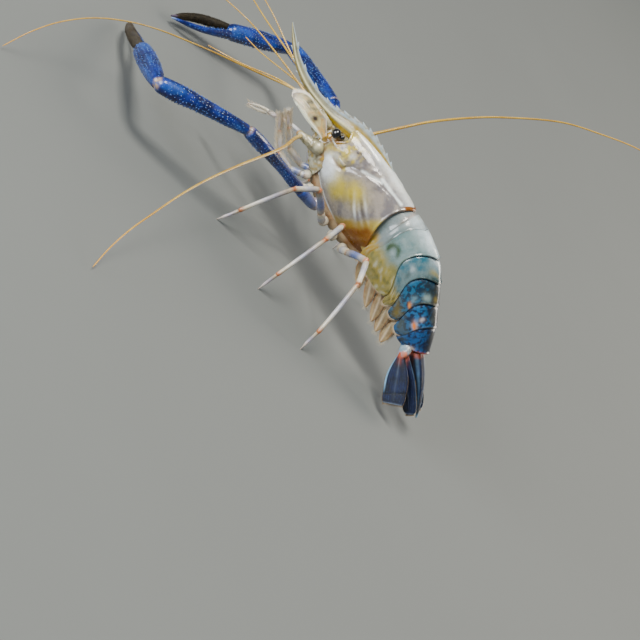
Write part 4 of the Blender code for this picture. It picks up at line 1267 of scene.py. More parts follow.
def addRostrumTeeth(build, draw):
    r = rostrum
    for edge, teeth, up in (("top", r["upperTeeth"], 1), ("bottom", r["lowerTeeth"], -1)):
        for x in teeth:
            slope = (along(x + 1, r["x"], r[edge]) - along(x - 1, r["x"], r[edge])) / 2
            size = (1.0 if -66 < x < -38 else 0.8) * draw.uniform(0.9, 1.08) * (1.0 if up > 0 else 0.8)
            rootX = x + r["toothLength"] * 0.45
            root = (rootX, 0, along(rootX, r["x"], r[edge]) - up * 0.75)
            heading = (-1, 0, -slope + up * r["toothRise"])
            addTooth(
                build, root, heading, r["toothLength"] * size, r["toothWidth"] * size,
                r["toothThickness"], 0.55 * up, (0.0, 0.25, 0.0, 0.3), (0.3, 0.2, 0.0, 1.0),
            )


def addRostrumHairs(fringe, draw):
    r = rostrum
    start, end = r["hairSpan"]
    for k in range(r["hairs"]):
        x = draw.uniform(start, end)
        root = (x, draw.uniform(-0.2, 0.2), along(x, r["x"], r["top"]) - 0.15)
        heading = (-0.9, draw.uniform(-0.25, 0.25), draw.uniform(0.6, 1.1))
        length = r["hairLength"] * draw.uniform(0.6, 1.1)
        place = (0.1 + 0.8 * (x + 70) / 46, draw.uniform(0.2, 0.8))
        addBristle(fringe, root, heading, length, r["hairRadius"], (-0.3, 0, 0), place, (0.6, 0, 0, 0))


def makeRostrum():
    draw = random.Random(rostrum["seed"])
    build, fringe = newBuild(), newBuild()
    addRostrumBlade(build)
    addRostrumTeeth(build, draw)
    makePiece("rostrumBlade", build, rostrumPaint, ["rostrum"], sharpAngle=60)
    addRostrumHairs(fringe, draw)
    makePiece("rostrumHairs", fringe, bristlePaint, ["rostrum"])


makeRostrum()
print("rostrum made")

# Eyes: a black dome on a short stalk, with a small dark spot behind it
eye = {
    "radius": 2.6,
    "squash": 0.94,
    "centre": (-52.2, 9.5, 57.9),
    "root": (-47.0, 3.2, 57.2),
    "spotRadius": 1.2,
    "spotShift": (2.0, 0.9, 1.6),
    "stalkSteps": (0.0, 0.12, 0.24, 0.36, 0.48, 0.6, 0.72, 0.84, 0.94),
    "stalkRadii": (1.7, 1.75, 1.7, 1.65, 1.7, 1.8, 1.85, 1.75, 1.2),
    "base": tint(10, 9, 10),
    "cloud": tint(34, 24, 18),
    "facetScale": 6500.0,
    "facetBump": 0.08,
    "facetDepth": 0.00004,
    "coatRoughness": 0.03,
}


def eyeMaterial():
    material, tree, shader = newShader("eyeBlack")
    cloud = useGroup(tree, mottleGroup, Scale=900.0, Low=0.45, High=0.8)
    wire(tree, mixColour(tree, cloud, eye["base"], eye["cloud"]), shader.inputs["Base Color"])
    wire(tree, useGroup(tree, sheenGroup, Wet=0.04, Dry=0.1, Scale=500.0), shader.inputs["Roughness"])
    facets = textureNode(tree, "ShaderNodeTexVoronoi", Scale=eye["facetScale"]).outputs["Distance"]
    wire(tree, bumpNode(tree, facets, eye["facetBump"], eye["facetDepth"]), shader.inputs["Normal"])
    shader.inputs["Coat Weight"].default_value = 1.0
    shader.inputs["Coat Roughness"].default_value = eye["coatRoughness"]
    return material


eyePaint = eyeMaterial()


# A ball of rings from one pole to the other
def addBall(build, centre, outward, radius, squash, rings, count):
    across = outward.orthogonal().normalized()
    other = outward.cross(across)
    rows = []
    for k in range(rings + 1):
        turn = math.pi * (0.02 + 0.96 * k / rings)
        middle = centre + outward * (radius * squash * math.cos(turn))
        rows.append(circle(middle, across, other, radius * math.sin(turn), count))
    addGrid(build, rows, closed=True)


def stalkZones(t, a):
    below = 0.5 - 0.5 * math.cos(a)
    gold = 0.9 * smoothStep(0.3, 0.6, t) * below
    return (0.35 * (1 - below), gold, 0.8 * smoothStep(0.72, 0.86, t), 0.0)


def makeEye(label, side):
    centre, root = onSide(eye["centre"], side), onSide(eye["root"], side)
    outward = (centre - root).normalized()
    spot = centre - outward * eye["radius"] * 0.75 + onSide(eye["spotShift"], side)
    build = newBuild()
    addBall(build, centre, outward, eye["radius"], eye["squash"], 24, 36)
    addBall(build, spot, outward, eye["spotRadius"], 1.0, 10, 14)
    makePiece("eyeball_" + label, build, eyePaint, ["eye_" + label])
    build = newBuild()
    stalk = [root.lerp(centre, t) for t in eye["stalkSteps"]]
    addBar(build, stalk, lambda t, a: graded(eye["stalkRadii"], t), 24, stalkZones)
    makePiece("eyestalk_" + label, build, headPaint, ["eye_" + label])


for label, side in sides.items():
    makeEye(label, side)
print("eyes made")

# Feelers: jointed bases and ringed whips
feelers = {
    "antennuleJoints": ((-57.5, 4.1, 55.2), (-66.5, 4.4, 55.2), (-71.5, 4.8, 54.9), (-76.0, 5.1, 54.4)),
    "antennuleRadii": (2.0, 1.75, 1.5),
    "antennuleThorn": (-58.5, 6.0, 54.9),
    "antennaJoints": ((-50.6, 8.6, 46.0), (-54.8, 10.2, 44.8), (-58.0, 11.2, 43.8), (-62.0, 12.0, 42.8)),
    "antennaRadii": (3.4, 2.75, 2.1),
    "antennaThorn": (-53.4, 13.0, 45.0),
    "antennaRoutes": {
        "left": (
            (-60.6, 11.8, 42.9), (-59.8, 30, 45.6), (-57.4, 56, 46.2), (-58.5, 95, 39.0),
            (-58.8, 125, 32.3), (-58.0, 145, 26.8), (-56.4, 163, 20.1), (-54.6, 180, 13.1),
            (-51.7, 195, 7.2), (-48.2, 206, 1.5),
        ),
        "right": (
            (-60.6, 11.8, 42.9), (-56, 20, 46.5), (-48.6, 28, 50.9), (-46.0, 38, 56.2),
            (-40.9, 52, 68.2), (-35.8, 65, 79.6), (-27.2, 85, 93.3), (-19.4, 97, 104.0),
            (-1.0, 120, 124.2), (15.5, 135, 135.6), (34.2, 148, 146.5), (50.0, 156, 151.0),
        ),
    },
    "antennuleRoutes": {
        "left": (
            (
                (-75, 5.7, 54.6), (-84, 9, 50.0), (-92, 16, 46.4), (-101.6, 28, 43.1),
                (-112.6, 42, 39.5), (-122.4, 60, 37.3), (-132.4, 78, 34.4), (-140.2, 98, 31.7),
                (-147.1, 120, 26.9), (-151.1, 140, 19.9), (-152.4, 155, 11.7), (-152.6, 165, 1.6),
            ),
            ((-75, 5.3, 53.8), (-90, 8, 47), (-106, 13, 37), (-122, 18, 29)),
            ((-75, 4.6, 54.2), (-98, 4.8, 52.5), (-122, 8, 50), (-148, 14, 44)),
        ),
        "right": (
            (
                (-75, 5.7, 54.6), (-88, 10, 53), (-104, 18, 50), (-124, 34, 44), (-146, 58, 36),
                (-162, 88, 24),
            ),
            ((-75, 5.3, 53.8), (-91, 9, 47), (-108, 15, 39), (-120, 22, 34)),
            ((-75, 4.6, 54.2), (-98, 5.8, 55), (-122, 12, 56), (-146, 22, 53)),
        ),
    },
    "whipRadii": (1.05, 0.3),
    "thinWhipRadii": (0.62, 0.24),
    "ringStep": 0.275,
    "grooveEvery": 4,
    "grooveShare": 0.86,
}

whipPaint = shellMaterial(
    "feelerRings",
    base=(206, 170, 66),
    shade=(182, 142, 46),
    pale=(224, 200, 140),
    warm=(222, 196, 150),
    dark=(112, 58, 16),
    edge=(226, 160, 60),
    mottleScale=60.0,
    speckShare=0.1,
    ragged=0.1,
    fleshDepth=0.0008,
)


def addWhip(build, route, radii, side, count=8):
    rings = smoothRoute([onSide(p, side) for p in route], feelers["ringStep"])
    start, end = radii

    def isGroove(t):
        return round(t * (len(rings) - 1)) % feelers["grooveEvery"] == 0

    def radiusAt(t, a):
        size = (start + (end - start) * t**0.7) * (1.0 if t < 0.995 else 0.6)
        return size * (feelers["grooveShare"] if isGroove(t) else 1.0)

    def zoneAt(t, a):
        root, tip = 0.55 * smoothStep(0.15, 0.0, t), 0.4 * smoothStep(0.6, 1.0, t)
        return (root, 0.0, 0.75 if isGroove(t) else 0.0, tip)

    addBar(build, rings, radiusAt, count, zoneAt)


def jointZones(t, a):
    joint = smoothStep(0.86, 0.97, t) + smoothStep(0.08, 0.0, t)
    return (0.35 * hump(t, 0.5, 0.25), 0.7 * joint, 0.25 * hump(t, 0.84, 0.02), 0.0)


# A jointed base: shares give how each article's radius runs along it
def addBase(build, joints, radii, shares, side, **shape):
    joints = [onSide(p, side) for p in joints]
    for near, far, radius in zip(joints, joints[1:], radii):
        addArticle(build, near, far, [radius * share for share in shares], 0.5, zoneAt=jointZones, **shape)


def makeFeelers(label, side):
    f = feelers
    thorn = {"count": 8, "rings": 6, "tipZone": (0.6, 0, 0, 0)}
    build = newBuild()
    shares = (0.92, 0.9, 0.92, 1.0)
    addBase(build, f["antennuleJoints"], f["antennuleRadii"], shares, side, count=22, overshoot=0.8)
    addSpine(build, onSide(f["antennuleThorn"], side), (-1, side * 0.2, 0.06), 5.0, 0.7, **thorn)
    makePiece("antennuleBase_" + label, build, headPaint, ["antennule_" + label])
    build = newBuild()
    for route in f["antennuleRoutes"][label]:
        addWhip(build, route, f["thinWhipRadii"], side)
    node = ["antennule_" + label]
    makePiece("antennuleWhips_" + label, build, whipPaint, node, sharpAngle=70)
    build = newBuild()
    shares = (0.96, 1.0, 0.94, 0.88)
    addBase(
        build, f["antennaJoints"], f["antennaRadii"], shares, side, count=26, rough=0.08, overshoot=0.85,
    )
    addSpine(build, onSide(f["antennaThorn"], side), (-1, side * 0.25, 0.0), 3.4, 0.7, **thorn)
    makePiece("antennaBase_" + label, build, headPaint, ["antenna_" + label])
    build = newBuild()
    addWhip(build, f["antennaRoutes"][label], f["whipRadii"], side, 10)
    node = ["antenna_" + label]
    makePiece("antennaWhip_" + label, build, whipPaint, node, sharpAngle=70)


for label, side in sides.items():
    makeFeelers(label, side)
print("feelers made")

# Antennal scales: a blade with a thick straight outer rim
scale = {
    "root": (-53.9, 12.3, 50.9),
    "sway": (1.7, -0.9),
    "tilt": math.radians(40),
    "length": 26.0,
    "width": 9.0,
    "thickness": 0.42,
    "ridge": 0.6,
    "rows": 52,
    "columns": 20,
    "veins": 46,
    "bristles": (230, 46),
    "bristleLength": 2.4,
    "bristleRadius": 0.09,
    "seed": 21,
}

scalePaint = shellMaterial(
    "scaleShell",
    base=(172, 160, 116),
    shade=(122, 116, 86),
    pale=(238, 240, 214),
    warm=(192, 142, 62),
    dark=(44, 36, 28),
    edge=(164, 156, 158),
    speck=(96, 70, 50),
    mottleScale=240.0,
    speckShare=0.4,
)


# A place on the blade: t runs to its tip and s from the outer margin at 0 to the inner one at 1
def scalePoint(t, s, side, lift=0.0):
    c = scale
    root = onSide(c["root"], side)
    rounding = math.sqrt(max(0.0, 1 - max(0.0, (t - 0.62) / 0.385) ** 2.4))
    width = c["width"] * min(1.0, 0.34 + 2.4 * t) * rounding + 0.5
    end = 1 - 0.12 * (1 - s) ** 2
    sway = smoothStep(0.0, 0.6, t)
    inward = Vector((0, -side * math.cos(c["tilt"]), math.sin(c["tilt"])))
    facing = Vector((0, side * math.sin(c["tilt"]), math.cos(c["tilt"])))
    outer = root + Vector((-c["length"] * t * end, side * c["sway"][0] * sway, c["sway"][1] * sway))
    dome = 0.55 * math.sin(math.pi * s) * math.sin(math.pi * clamp(t * 1.05))
    return outer + inward * width * s + facing * (dome + lift)


def scaleZones(t, s):
    cloud = ripple((t * 26, s * 9, 5), 2.2)
    pale = 1.2 * hump(s, 0.04, 0.09) + 0.5 * smoothStep(0.9, 1.0, s)
    dark = 1.5 * hump(math.hypot((s - 0.44) / 0.17, (t - 0.4) / 0.05), 0, 1)  # the dark spot
    dark += 0.3 * hump(s, 0.22, 0.04) - cloud * smoothStep(0.3, 0.7, s)
    edge = 0.6 * smoothStep(0.7, 1.0, s) * smoothStep(0.5, 0.2, t) + 0.5 * smoothStep(0.9, 1.0, t)
    return (clamp(pale), clamp(0.6 * smoothStep(0.3, 0.0, t) + 0.8 * cloud), clamp(dark), clamp(edge))


def addScaleBlade(build, side):
    c = scale
    slices = []
    for k in range(c["rows"] + 1):
        t = k / c["rows"]
        upper, lower, marks = [], [], []
        for i in range(c["columns"] + 1):
            s = i / c["columns"]
            vein = 0.06 * math.sin(s * c["veins"]) * smoothStep(0.1, 0.3, s)
            thick = c["thickness"] / 2 * (1 - 0.6 * s) + c["ridge"] * hump(s, 0.03, 0.055)
            thick += 0.35 * hump(s, 0.32, 0.05) * (1 - t)
            if i in (0, c["columns"]):
                thick *= 0.4
            upper.append(scalePoint(t, s, side, thick + vein))
            lower.append(scalePoint(t, s, side, -thick * 0.8))
            marks.append(scaleZones(t, s))
        slices.append((upper, lower, marks))
    addBlade(build, slices)


# Bristles along the inner margin and then across the front
def addScaleFringe(fringe, side):
    c = scale
    draw = random.Random(c["seed"])
    inner, front = c["bristles"]
    radius, zone = c["bristleRadius"], (0.3, 0, 0, 0)
    for k in range(inner):
        t = 0.2 + 0.8 * k / (inner - 1)
        root = scalePoint(min(t, 0.995), 0.985, side)
        heading = Vector((-0.55 - 0.9 * t, -side * (1.0 - 0.55 * t), 0.02 * draw.uniform(-1, 1)))
        length = c["bristleLength"] * draw.uniform(0.8, 1.1)
        addBristle(fringe, root, heading, length, radius, (-0.3, 0, -0.1), (0.1 + 0.8 * t, 0.9), zone)
    for k in range(front):
        s = 0.12 + 0.86 * k / (front - 1)
        root = scalePoint(0.985, s, side)
        heading = (-1, -side * 0.5 * s, 0)
        length = c["bristleLength"] * draw.uniform(0.8, 1.1)
        addBristle(fringe, root, heading, length, radius, (0, 0, -0.1), (0.92, 0.1 + 0.8 * s), zone)


def makeScale(label, side):
    build, fringe = newBuild(), newBuild()
    addScaleBlade(build, side)
    addSpine(
        build, scalePoint(0.86, 0.02, side), (-1, side * 0.06, 0), 3.4, 0.55,
        count=8, rings=6, zone=(0.9, 0, 0, 0), tipZone=(1, 0, 0, 0),
    )
    makePiece("scaleBlade_" + label, build, scalePaint, ["antennal_scale_" + label])
    addScaleFringe(fringe, side)
    makePiece("scaleFringe_" + label, fringe, bristlePaint, ["antennal_scale_" + label])


for label, side in sides.items():
    makeScale(label, side)
print("antennal scales made")

# Legs
legs = {
    "maxillipedRoot": (-43.6, 6.4, 32.4),
    "maxillipedJoints": ((-50, 8.4, 27.5), (-60, 8.2, 27.0), (-69, 7.2, 33.0), (-76, 6.2, 38.0)),
    "maxillipedRadii": (1.8, 1.7, 1.3, 1.0, 0.5),
    "firstRoot": (-37.4, 7.6, 30.4),
    "firstJoints": ((-47, 17.5, 27.0), (-59, 25.5, 32.0), (-76, 27.0, 26.0), (-83, 25.5, 21.5)),
    "firstRadii": (1.6, 1.6, 1.35, 1.15, 1.35),
    "firstTip": (-92, 22.5, 16.0),
    "walkingRoots": ((-20.0, 9.4, 28.0), (-11.6, 9.4, 27.8), (-3.6, 8.8, 28.6)),
    "walkingJoints": (
        ((-33, 30, 42), (-39, 42, 36), (-44, 54, 11), (-46.5, 57, -0.8)),
        ((-12, 32, 43), (-10.5, 45, 37), (-8.5, 57, 11), (-7.5, 59.5, -0.8)),
        ((8.5, 29, 43), (15.5, 39.5, 37), (25, 51.5, 11), (27.5, 54.5, -0.8)),
    ),
    "walkingRadii": (2.1, 1.75, 1.45, 1.15, 0.5),
    "hipShares": (1.25, 1.3, 1.15),
    "hipLength": 1.4,
    "spinules": ((1, 2, 1.3, 15), (0, 1, 1.5, 4)),  # from joint, to joint, radius, number
    "seed": 31,
}

legPaint = shellMaterial(
    "legShell",
    base=(194, 182, 150),
    shade=(156, 138, 104),
    pale=(232, 232, 224),
    warm=(170, 90, 14),
    dark=(70, 42, 26),
    edge=(60, 98, 176),
    speck=(150, 96, 44),
    mottleScale=140.0,
    zoneScale=420.0,
    speckShare=0.4,
    flesh=0.05,
)


def legZones(order, t):
    joint = smoothStep(0.86, 0.97, t) + 0.9 * smoothStep(0.1, 0.02, t)
    blue = 0.8 * hump(t, 0.45, 0.28) if order == 1 else 0.35 * hump(t, 0.4, 0.25)
    tip = 0.0
    if order == 4:
        tip = smoothStep(0.55, 0.95, t)
        joint = 0.6 * smoothStep(0.1, 0.0, t) + 0.5 * hump(t, 0.6, 0.2)
    return (clamp(0.5 * hump(t, 0.6, 0.25)), clamp(joint), clamp(0.8 * tip), clamp(blue))


def limbStart(root, side):
    root = onSide(root, side)
    inner = Vector((root.x, root.y * 0.25, root.z + 1.5))
    return root, root + (root - inner).normalized() * legs["hipLength"]


def hipZones(t, a):
    return (0.3, 0.5 * smoothStep(0.8, 1.0, t), 0, 0)


def addLimb(build, root, joints, radii, side, floor=None):
    start, bend = limbStart(root, side)
    hip = [radii[0] * share for share in legs["hipShares"]]
    addArticle(build, start - (bend - start) * 1.6, bend, hip, 0.5, 20, zoneAt=hipZones)
    places = [bend] + [onSide(p, side) for p in joints]
    places.insert(1, places[0].lerp(places[1], 0.27))
    sizes = [radii[0], mix(radii[0], radii[1], 0.3), *radii[1:]]
    for order, (near, far) in enumerate(zip(places, places[1:])):
        start, end = sizes[order], sizes[order + 1]
        last = order == len(places) - 2
        waist = 0.5 * (start + end)
        ends = (0.7, 0.55) if last else (1.0, 1.16)
        profile = (start * 0.82, waist * 1.02, waist * 0.96, waist * 0.94, end * ends[0], end * ends[1])
        bow = (0.5 if order in (1, 3) else 0.2) * (-1.0 if last else 1.0)
        addArticle(
            build, near, far, profile, 0.8, 16, bow, 1.0 if last else 0.86,
            lambda t, a, o=order: legZones(o, t), floor=floor,
        )


def addLegBristles(build, near, far, radius, draw, number, length):
    near, far = Vector(near), Vector(far)
    ahead = (far - near).normalized()
    across = ahead.orthogonal().normalized()
    other = ahead.cross(across)
    for k in range(number):
        t = draw.uniform(0.05, 0.98)
        a = draw.uniform(0, 2 * math.pi)
        out = across * math.cos(a) + other * math.sin(a)
        root = near.lerp(far, t) + out * radius * 0.85
        heading = out * 0.7 + ahead * 0.9
        size = length * draw.uniform(0.6, 1.1)
        place = (0.1 + 0.8 * t, 0.1 + 0.8 * a / (2 * math.pi))
        addBristle(build, root, heading, size, 0.06, ahead * 0.3, place, (0.2, 0.1, 0, 0))


# Short spinules in a row under one article
def addUnderSpinules(build, near, far, radius, number):
    ahead = (far - near).normalized()
    under = (Vector((0, 0, -1)) - ahead * Vector((0, 0, -1)).dot(ahead)).normalized()
    for k in range(number):
        root = near.lerp(far, (k + 0.6) / number) + under * radius * 0.72
        addSpine(build, root, under + ahead * 1.1, 0.95, 0.22, count=5, rings=3, zone=(0.3, 0.3, 0, 0))


def makeLegs(label, side):
    g = legs
    build = newBuild()
    addLimb(build, g["maxillipedRoot"], g["maxillipedJoints"], g["maxillipedRadii"], side)
    makePiece("maxillipedShell_" + label, build, legPaint, ["maxilliped_" + label])
    draw = random.Random(g["seed"])
    build = newBuild()
    joints = [onSide(p, side) for p in g["maxillipedJoints"]]
    for near, far, number in zip(joints, joints[1:], (220, 330, 360)):
        addLegBristles(build, near, far, 1.2, draw, number, 2.6)
    makePiece("maxillipedBristles_" + label, build, bristlePaint, ["maxilliped_" + label])
    build = newBuild()
    addLimb(build, g["firstRoot"], g["firstJoints"], g["firstRadii"], side)
    hand, tip = onSide(g["firstJoints"][-1], side), onSide(g["firstTip"], side)

    def fingerZones(t, a):
        return (0.4, 0.6 * smoothStep(0.7, 1.0, t), 0, 0)

    for lift in (Vector((0, 0, -1)), Vector((0, 0, 1))):
        route = smoothRoute([hand + lift * 0.6, hand.lerp(tip, 0.5) + lift * 1.25, tip + lift * 0.2], 0.6)
        addBar(build, route, lambda t, a: mix(1.0, 0.25, t**1.3), 12, fingerZones, 0.8)
    makePiece("firstLegShell_" + label, build, legPaint, ["first_leg_" + label])
    build = newBuild()
    addLegBristles(build, hand, tip, 1.4, draw, 160, 1.6)
    addLegBristles(build, onSide(g["firstJoints"][2], side), hand, 1.2, draw, 70, 1.4)
    makePiece("firstLegBristles_" + label, build, bristlePaint, ["first_leg_" + label])
    for i, (root, joints) in enumerate(zip(g["walkingRoots"], g["walkingJoints"])):
        node = f"walking_leg_{i + 3}_{label}"
        build = newBuild()
        addLimb(build, root, joints, g["walkingRadii"], side, floor=0.0)
        places = [onSide(p, side) for p in joints]
        for first, last, radius, number in g["spinules"]:
            addUnderSpinules(build, places[first], places[last], radius, number)
        makePiece(f"walkingLegShell{i + 3}_{label}", build, legPaint, [node])


for label, side in sides.items():
    makeLegs(label, side)
print("legs made")

# Great claws
claws = {
    "root": (-29.4, 8.9, 28.6),
    "elbow": (-72, 67, 41),
    "wrist": (-110, 97, 27),
    "knuckle": (-132.5, 60, 14.5),
    "tip": (-150.5, 27.5, 4.0),
    "hipRadii": (3.2, 3.3, 3.0),
    "ischiumShare": 0.2,
    "ischiumRadii": (2.4, 2.7, 2.8, 2.9),
    "merus": {  # bare is the share at each end without spinules
        "radii": (2.6, 2.9, 2.7, 2.9, 3.3, 3.6, 3.2), "columns": 28, "bow": 0.6, "flatten": 0.92,
        "seed": 1.3, "zoneReach": 1.0, "rows": 13, "size": 0.9, "bare": (0.04, 0.05),
    },
    "carpus": {
        "radii": (2.5, 3.2, 3.6, 4.0, 4.5, 4.0), "columns": 30, "bow": 0.4, "flatten": 0.95,
        "seed": 4.1, "zoneReach": 1.0, "rows": 14, "size": 1.05, "bare": (0.07, 0.06),
    },
    "palm": {
        "radii": (3.0, 4.2, 4.8, 5.0, 4.9, 4.4), "columns": 34, "bow": 0.3, "flatten": 0.94,
        "seed": 7.7, "zoneReach": 0.9, "rows": 16, "size": 1.0, "bare": (0.06, 0.05),
    },
    "fixedRadii": (2.9, 2.5, 2.1, 1.7, 1.25, 0.4),
    "movingRadii": (2.1, 2.5, 2.35, 1.95, 1.4, 0.45),
    "teeth": ((0.2, 1.0), (0.3, 1.3), (0.42, 0.8)),  # share along the finger, size
    "spread": 3.0,
    "routeStep": 0.7,
    "spinuleStep": 2.3,
    "spinuleLength": 0.95,
    "spinuleRadius": 0.3,
    "velvetHairs": 5200,
    "velvetLength": 0.85,
    "velvetRadius": 0.075,
    "seed": 7,
}

clawPaint = shellMaterial(
    "clawShell",
    base=(14, 44, 132),
    shade=(6, 20, 78),
    pale=(134, 168, 220),
    warm=(168, 142, 120),
    dark=(6, 10, 36),
    edge=(30, 80, 164),
    speck=(84, 138, 206),
    mottleScale=130.0,
    mottleSpan=(0.36, 0.62),
    zoneScale=230.0,
    ragged=1.2,
    speckScale=900.0,
    speckSize=0.3,
    speckShare=0.35,
    speckStrength=0.5,
    flesh=0.04,
    wet=0.2,
    dry=0.42,
    pits=0.8,
    bump=0.5,
    coat=0.35,
)

velvetPaint = shellMaterial(
    "clawVelvet",
    base=(58, 50, 28),
    shade=(32, 28, 18),
    pale=(70, 60, 78),
    warm=(74, 58, 40),
    dark=(22, 19, 15),
    mottleScale=420.0,
    speckShare=0.0,
    flesh=0.0,
    wet=0.55,
    dry=0.8,
    coat=0.0,
    bump=0.5,
)


def clawZones(seed, t, a):
    place = Vector((t * 3.2 + seed, math.cos(a), math.sin(a)))
    light = smoothStep(0.05, 0.4, noise.noise(place))
    clouds = smoothStep(0.1, 0.45, noise.noise(place * 1.7 + Vector((5, 2, 1))))
    joint = smoothStep(0.955, 0.99, t) + smoothStep(0.045, 0.01, t)
    return (0.0, clamp(joint), clamp(0.6 * clouds), clamp(0.55 * light))


def clawHipZones(t, a):
    return (0.2, 0.8, 0, 0)


def ischiumZones(t, a):
    return (0.4 * (1 - t), clamp(0.75 * (1 - t) + smoothStep(0.93, 0.99, t)), 0.0, 0.4)


def fixedZones(t, a):
    light = smoothStep(0.1, 0.5, noise.noise(Vector((t * 6, math.cos(a), math.sin(a)))))
    pale, warm = 0.7 * smoothStep(0.9, 0.97, t), 0.35 * smoothStep(0.93, 1.0, t)
    return (pale, warm, 0.3 * hump(t, 0.5, 0.3), 0.6 * light)


def movingZones(t, a):
    return (smoothStep(0.86, 0.93, t), 0.3 * smoothStep(0.7, 0.85, t), 0.4 * hump(t, 0.3, 0.3), 0.0)


def addSpinules(build, start, end, radii, draw, rows, step, size, bow=0.0):
    c = claws
    ahead = (end - start).normalized()
    across = ahead.cross(Vector((0, 0, 1))).normalized()
    upward = across.cross(ahead)
    count = int((end - start).length / step)
    for row in range(rows):
        for k in range(count):
            t = (k + draw.uniform(0.2, 0.8)) / count
            turn = 2 * math.pi * (row + draw.uniform(-0.2, 0.2)) / rows
            out = across * math.cos(turn) + upward * math.sin(turn)
            grow = size * draw.uniform(0.55, 1.15)
            root = start.lerp(end, t) + upward * bow * math.sin(math.pi * t)
            root += out * (graded(radii, t) - 0.25)
            addSpine(
                build, root, out + ahead * 0.9, c["spinuleLength"] * grow,
                c["spinuleRadius"] * (0.6 + 0.4 * grow), count=5, rings=3,
                zone=(0.1, 0, 0, 0.2), tipZone=(0.85, 0, 0, 0.3),
            )


# An article of the arm with its rows of spinules
def addArmPart(build, start, end, part, draw):
    def zones(t, a):
        return clawZones(part["seed"], t * part["zoneReach"], a)

    radii, bow = part["radii"], part["bow"]
    addArticle(build, start, end, radii, 0.8, part["columns"], bow, part["flatten"], zones)
    near, far = part["bare"]
    first, last = start.lerp(end, near), end.lerp(start, far)
    addSpinules(build, first, last, radii, draw, part["rows"], claws["spinuleStep"], part["size"], bow)


def addVelvet(build, route, draw):
    c = claws
    frames = frameAlong(route, (0, 0, 1))
    for k in range(c["velvetHairs"]):
        t = draw.uniform(0.03, 0.9)
        point, ahead, across, other = frames[round(t * (len(frames) - 1))]
        a = draw.uniform(0, 2 * math.pi)
        out = across * math.cos(a) + other * math.sin(a)
        root = point + out * graded(c["movingRadii"], t) * 0.93 + ahead * draw.uniform(-0.35, 0.35)
        length = c["velvetLength"] * draw.uniform(0.6, 1.1) * (1 - 0.5 * smoothStep(0.8, 0.9, t))
        heading = out + ahead * draw.uniform(0.2, 0.9)
        place = (0.08 + 0.84 * t, 0.08 + 0.84 * a / (2 * math.pi))
        zone = (0.0, 0.5 * draw.random(), 0.3 * draw.random(), 0.0)
        addBristle(build, root, heading, length, c["velvetRadius"], ahead * 0.15, place, zone)


def makeGreatClaw(label, side):
    c = claws
    draw = random.Random(c["seed"])
    start, bend = limbStart(c["root"], side)
    elbow, wrist, knuckle, tip = (onSide(c[key], side) for key in ("elbow", "wrist", "knuckle", "tip"))
    outward = (tip - wrist).normalized().cross(Vector((0, 0, 1))).normalized() * side
    spread = outward * c["spread"]

    build = newBuild()
    hip = start - (bend - start) * 1.6
    addArticle(build, hip, bend, c["hipRadii"], 0.5, 24, zoneAt=clawHipZones)
    ischium = bend.lerp(elbow, c["ischiumShare"])
    addArticle(build, bend, ischium, c["ischiumRadii"], 0.6, 26, zoneAt=ischiumZones)
    addArmPart(build, ischium, elbow, c["merus"], draw)
    makePiece("clawMerus_" + label, build, clawPaint, ["great_claw_merus_" + label])

    build = newBuild()
    addArmPart(build, elbow, wrist, c["carpus"], draw)
    makePiece("clawCarpus_" + label, build, clawPaint, ["great_claw_carpus_" + label])

    build = newBuild()
    addArmPart(build, wrist, knuckle, c["palm"], draw)
    back = (knuckle - wrist).normalized()
    middle = knuckle.lerp(tip, 0.5)
    ends = (knuckle - spread * 0.6 - back * 5, tip - spread * 0.1)
    fixedRoute = smoothRoute([ends[0], middle - spread * 1.1, ends[1]], c["routeStep"])
    addBar(build, fixedRoute, lambda t, a: graded(c["fixedRadii"], t), 22, fixedZones, 0.9)
    for share, size in c["teeth"]:
        place = knuckle.lerp(tip, share) - spread * (0.62 + 0.9 * share)
        addSpine(
            build, place, spread, 2.2 * size, 0.9 * size,
            count=10, rings=5, zone=(0.2, 0, 0, 0.2), tipZone=(0.9, 0.3, 0, 0),
        )
    first, last = knuckle - spread * 0.8, knuckle.lerp(tip, 0.55) - spread * 1.05
    addSpinules(build, first, last, c["fixedRadii"][:4], draw, 9, 2.6, 0.6)
    makePiece("clawPalm_" + label, build, clawPaint, ["great_claw_palm_" + label])

    build = newBuild()
    places = (
        knuckle + spread * 0.7 - back * 1.5,
        knuckle + spread * 0.95 + (tip - knuckle) * 0.12,
        middle + spread * 1.35,
        tip + spread * 0.35,
    )
    movingRoute = smoothRoute(places, c["routeStep"])
    node = ["great_claw_finger_" + label]
    addBar(build, movingRoute, lambda t, a: graded(c["movingRadii"], t), 24, movingZones, 0.92)
    makePiece("clawFinger_" + label, build, velvetPaint, node)
    build = newBuild()
    addVelvet(build, movingRoute, draw)
    makePiece("clawVelvetHair_" + label, build, velvetPaint, node)


for label, side in sides.items():
    makeGreatClaw(label, side)
print("great claws made")

# Swimming legs
swimmers = {
    "share": 0.45,
    "base": 7.0,
    "baseRadii": (1.5, 1.8, 1.95, 1.7),
    "blades": (15.0, 16.0, 15.0, 13.0, 10.5),
    "branches": ((1.9, 1.0), (-0.9, 0.82)),  # distance outward, share of the length
    "sweep": math.radians(44),
    "halfWidth": 2.6,
    "halfThickness": 0.42,
    "rows": 26,
    "columns": 10,
    "tipBristles": 14,
    "bristleRadius": 0.06,
    "bristleDroop": (0, 0, -0.2),
    "bristleZone": (0.2, 0, 0, 0),
    "bareShare": 0.22,
    "sideLengths": (1.8, 2.8),
    "tipLengths": (2.0, 2.8),
    "seed": 40,
}

swimmerPaint = shellMaterial(
    "swimmerSkin",
    base=(190, 164, 118),
    shade=(164, 136, 98),
    pale=(230, 218, 190),
    warm=(190, 112, 36),
    dark=(96, 70, 50),
    edge=(190, 100, 40),
    mottleScale=260.0,
    speckShare=0.45,
    flesh=0.25,
)


